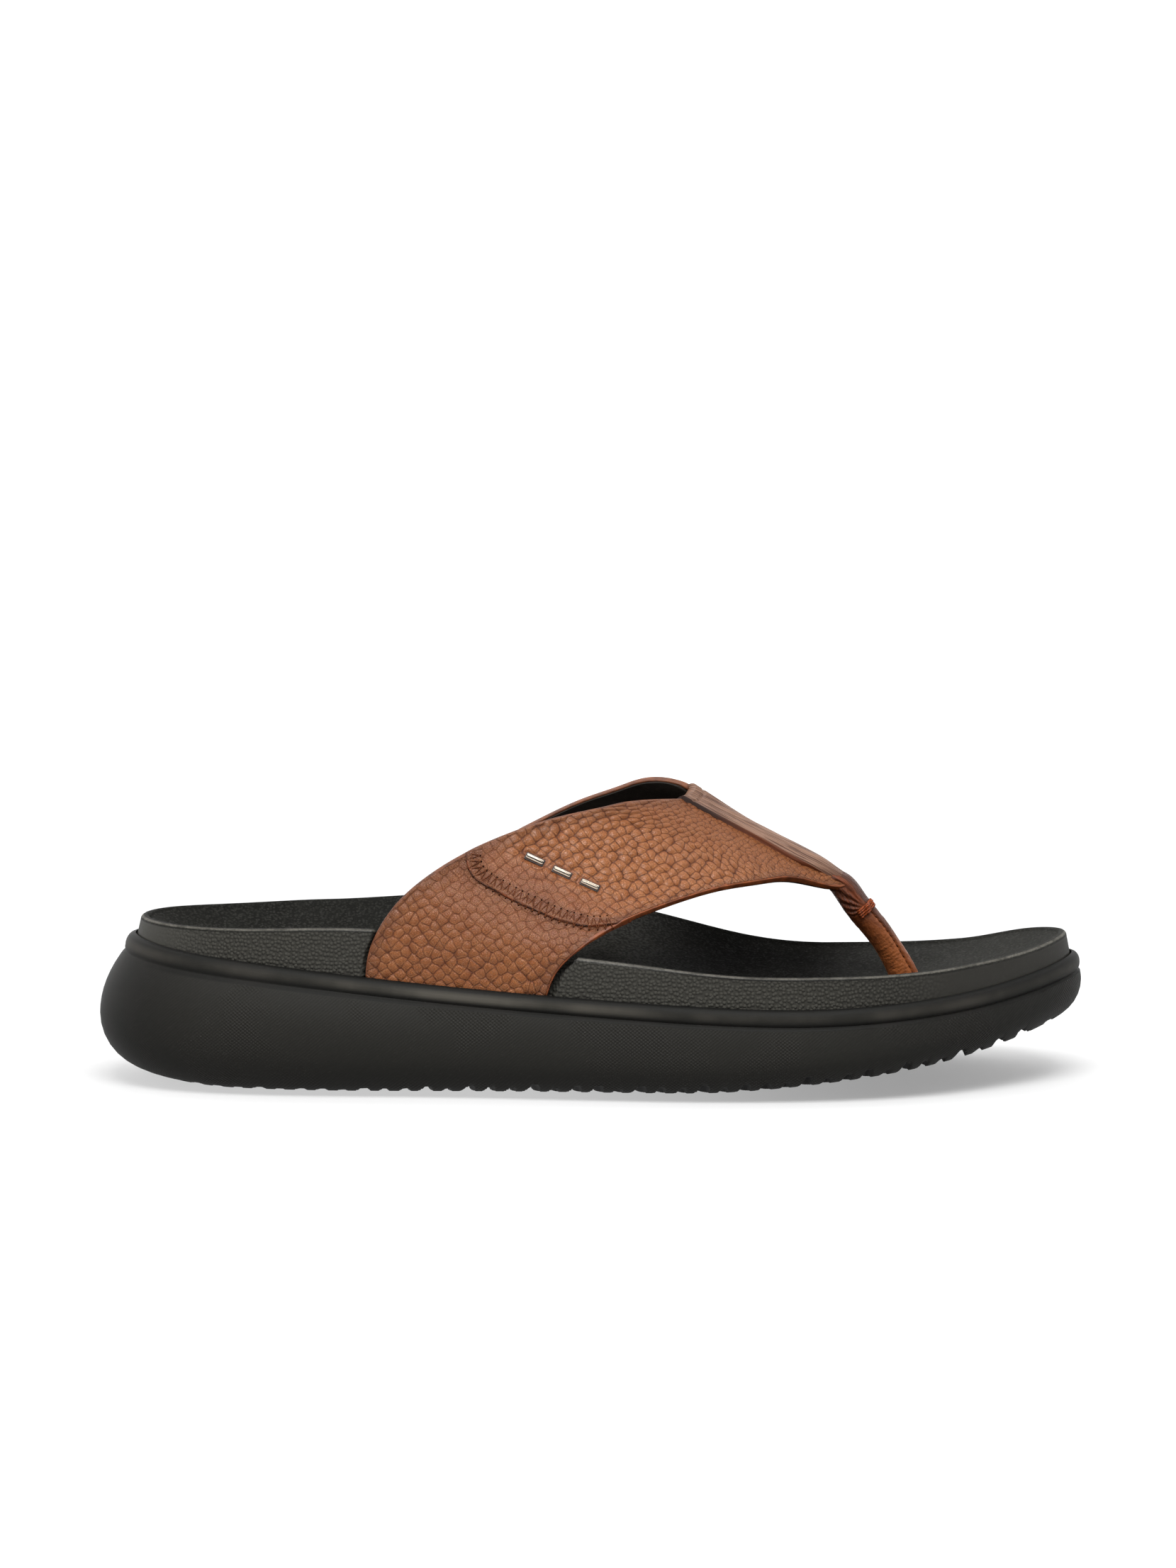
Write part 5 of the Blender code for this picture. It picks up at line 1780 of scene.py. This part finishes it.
stageSpec = {
    # camera: millimetres in a pixel, height of the frame in pixels, metres and degrees
    "pixel": 0.2086, "frameHeight": 2212, "sensor": 36.0,
    "distance": 2.4, "elevation": 7.0, "target": (-0.00096, 0.0, 0.08707),
    # floor and backdrop in metres
    "reach": 4.0, "depth": 3.4, "sweep": 1.5, "wallTop": 4.5,
    # glow of the floor, its share at the toe, and where it changes in millimetres
    "glow": 0.56, "toeGlow": 0.54, "glowFrom": -40.0, "glowTo": 110.0,
    "heelPaint": 131, "toePaint": 161, "farPaint": 240, "nearEnd": 0.4, "farStart": 1.4,
    "horizon": 0.04, "zenith": 0.40,
}

# lamps in metres: place, target, width, length, watts
lamps = {
    "overhead": ((0.0, 0.25, 3.0), (0.0, 0.25, 0.0), 4.0, 5.0, 50.0),
    "backdrop_wash": ((0.0, 0.9, 2.6), (0.0, 3.4, 0.2), 5.0, 0.6, 60.0),
    "key": ((0.05, -1.1, 1.85), (0.0, 0.0, 0.04), 1.3, 1.1, 69.0),
}


def buildStage():
    # floor that curves up into a backdrop behind and at both sides, open towards the camera
    spec = stageSpec
    reach, depth, sweep = spec["reach"], spec["depth"], spec["sweep"]
    turns = np.linspace(0, math.pi / 2, 9)
    corner = [(reach - sweep + sweep * math.cos(t), depth - sweep + sweep * math.sin(t)) for t in turns]
    border = [(reach, -depth)] + corner + [(-x, y) for x, y in corner[::-1]] + [(-reach, -depth)]
    border = np.array(border)
    # the floor ends where the sweep begins
    centre = np.array([(np.clip(x, sweep - reach, reach - sweep), min(y, depth - sweep)) for x, y in border])
    inward = centre - border
    rows = [(1 - math.sin(t), sweep * (1 - math.cos(t))) for t in np.linspace(0, math.pi / 2, 12)]
    rows += [(0.0, spec["wallTop"])]
    verts = []
    for stepIn, height in rows:
        verts += [(x, y, height) for x, y in border + inward * stepIn]
    count = len(border)
    faces = [tuple(range(count))]
    for row in range(len(rows) - 1):
        for low in range(row * count, row * count + count - 1):
            faces.append((low + 1, low, low + count, low + count + 1))
    mesh = bpy.data.meshes.new("floor")
    mesh.from_pydata(verts, [], faces)
    mesh.update()
    mesh.shade_smooth()
    # close to the shoe the floor only just reaches white, so that its shadow shows
    fixed = {"Roughness": 0.9, "Specular_IOR_Level": 0.0, "Emission_Strength": spec["glow"]}
    material, shader, flow = newMaterial("pale_floor", **fixed)
    place = objectPlace(flow)
    away = flow.add("ShaderNodeVectorMath", {"operation": "LENGTH"}, {0: place.scaled(mm)}, out=1)
    # painted light: the floor's glow lifts its shadow and is weaker towards the toe, so the shadow is darker
    # there; the paint is paler towards the toe
    toToe = place.axis(0).ranged(spec["glowFrom"], spec["glowTo"])
    heel, toe, far = (paint(*[spec[name]] * 3) for name in ("heelPaint", "toePaint", "farPaint"))
    near = blended(flow, toToe, heel, toe)
    colour = blended(flow, away.ranged(spec["nearEnd"], spec["farStart"]), near, far)
    weak = (spec["toeGlow"],) * 3 + (1,)
    wire(shader, Base_Color=colour, Emission_Color=blended(flow, toToe, (1, 1, 1, 1), weak))
    mesh.materials.append(material)
    floor = bpy.data.objects.new("floor", mesh)
    bpy.context.scene.collection.objects.link(floor)


def buildLights():
    # darker towards the horizon, brighter overhead
    world = bpy.data.worlds.new("studio")
    bpy.context.scene.world = world
    world.use_nodes = True
    flow = Flow(world.node_tree)
    height = flow.add("ShaderNodeTexCoord", out=0).axis(2)
    glow = height.ranged(0.05, 0.7, stageSpec["horizon"], stageSpec["zenith"])
    sky = world.node_tree.nodes["Background"]
    wire(sky, Strength=glow)
    sky.inputs["Color"].default_value = (1, 1, 1, 1)
    for name, (place, target, width, length, power) in lamps.items():
        data = bpy.data.lights.new(name, "AREA")
        data.shape = "RECTANGLE"
        data.size, data.size_y = width, length
        data.energy = power
        lamp = bpy.data.objects.new(name, data)
        bpy.context.scene.collection.objects.link(lamp)
        lamp.location = place
        lamp.rotation_euler = (Vector(target) - Vector(place)).to_track_quat("-Z", "Y").to_euler()


def buildCamera():
    spec = stageSpec
    data = bpy.data.cameras.new("view")
    data.sensor_width = spec["sensor"]
    data.lens = spec["sensor"] * spec["distance"] / (spec["frameHeight"] * spec["pixel"] * mm)
    data.clip_end = 50
    camera = bpy.data.objects.new("view", data)
    bpy.context.scene.collection.objects.link(camera)
    tilt = math.radians(spec["elevation"])
    back = np.array([0, -math.cos(tilt), math.sin(tilt)])
    camera.location = np.array(spec["target"]) + back * spec["distance"]
    camera.rotation_euler = (math.pi / 2 - tilt, 0, 0)
    bpy.context.scene.camera = camera


buildStage()
buildLights()
buildCamera()
bpy.context.scene.view_settings.view_transform = "Standard"
print("stage ready")

buildSole(foamMaterial())
buildFootbed(footbedMaterial())
grain = grainTree()
leather = leatherMaterial()
for side, label in ((-1, "outer"), (1, "inner")):
    buildPanel(side, label, grain, leather)
    buildTab(side, label, grain, leather)
buildLining(liningMaterial())
buildCutEdges("front", 1.0, edgeMaterial("front"))
buildCutEdges("rear", 0.0, edgeMaterial("rear"))
print("straps ready")
buildPost(postMaterial())
buildStrip(stripMaterial())
buildBars(metalMaterial(), bedShadeMaterial())
buildThreads(threadMaterial("brown_thread"), threadMaterial("needle_hole_shade"))
buildTack(threadMaterial("tack_thread"))
print("post, strip, bars and threads ready")
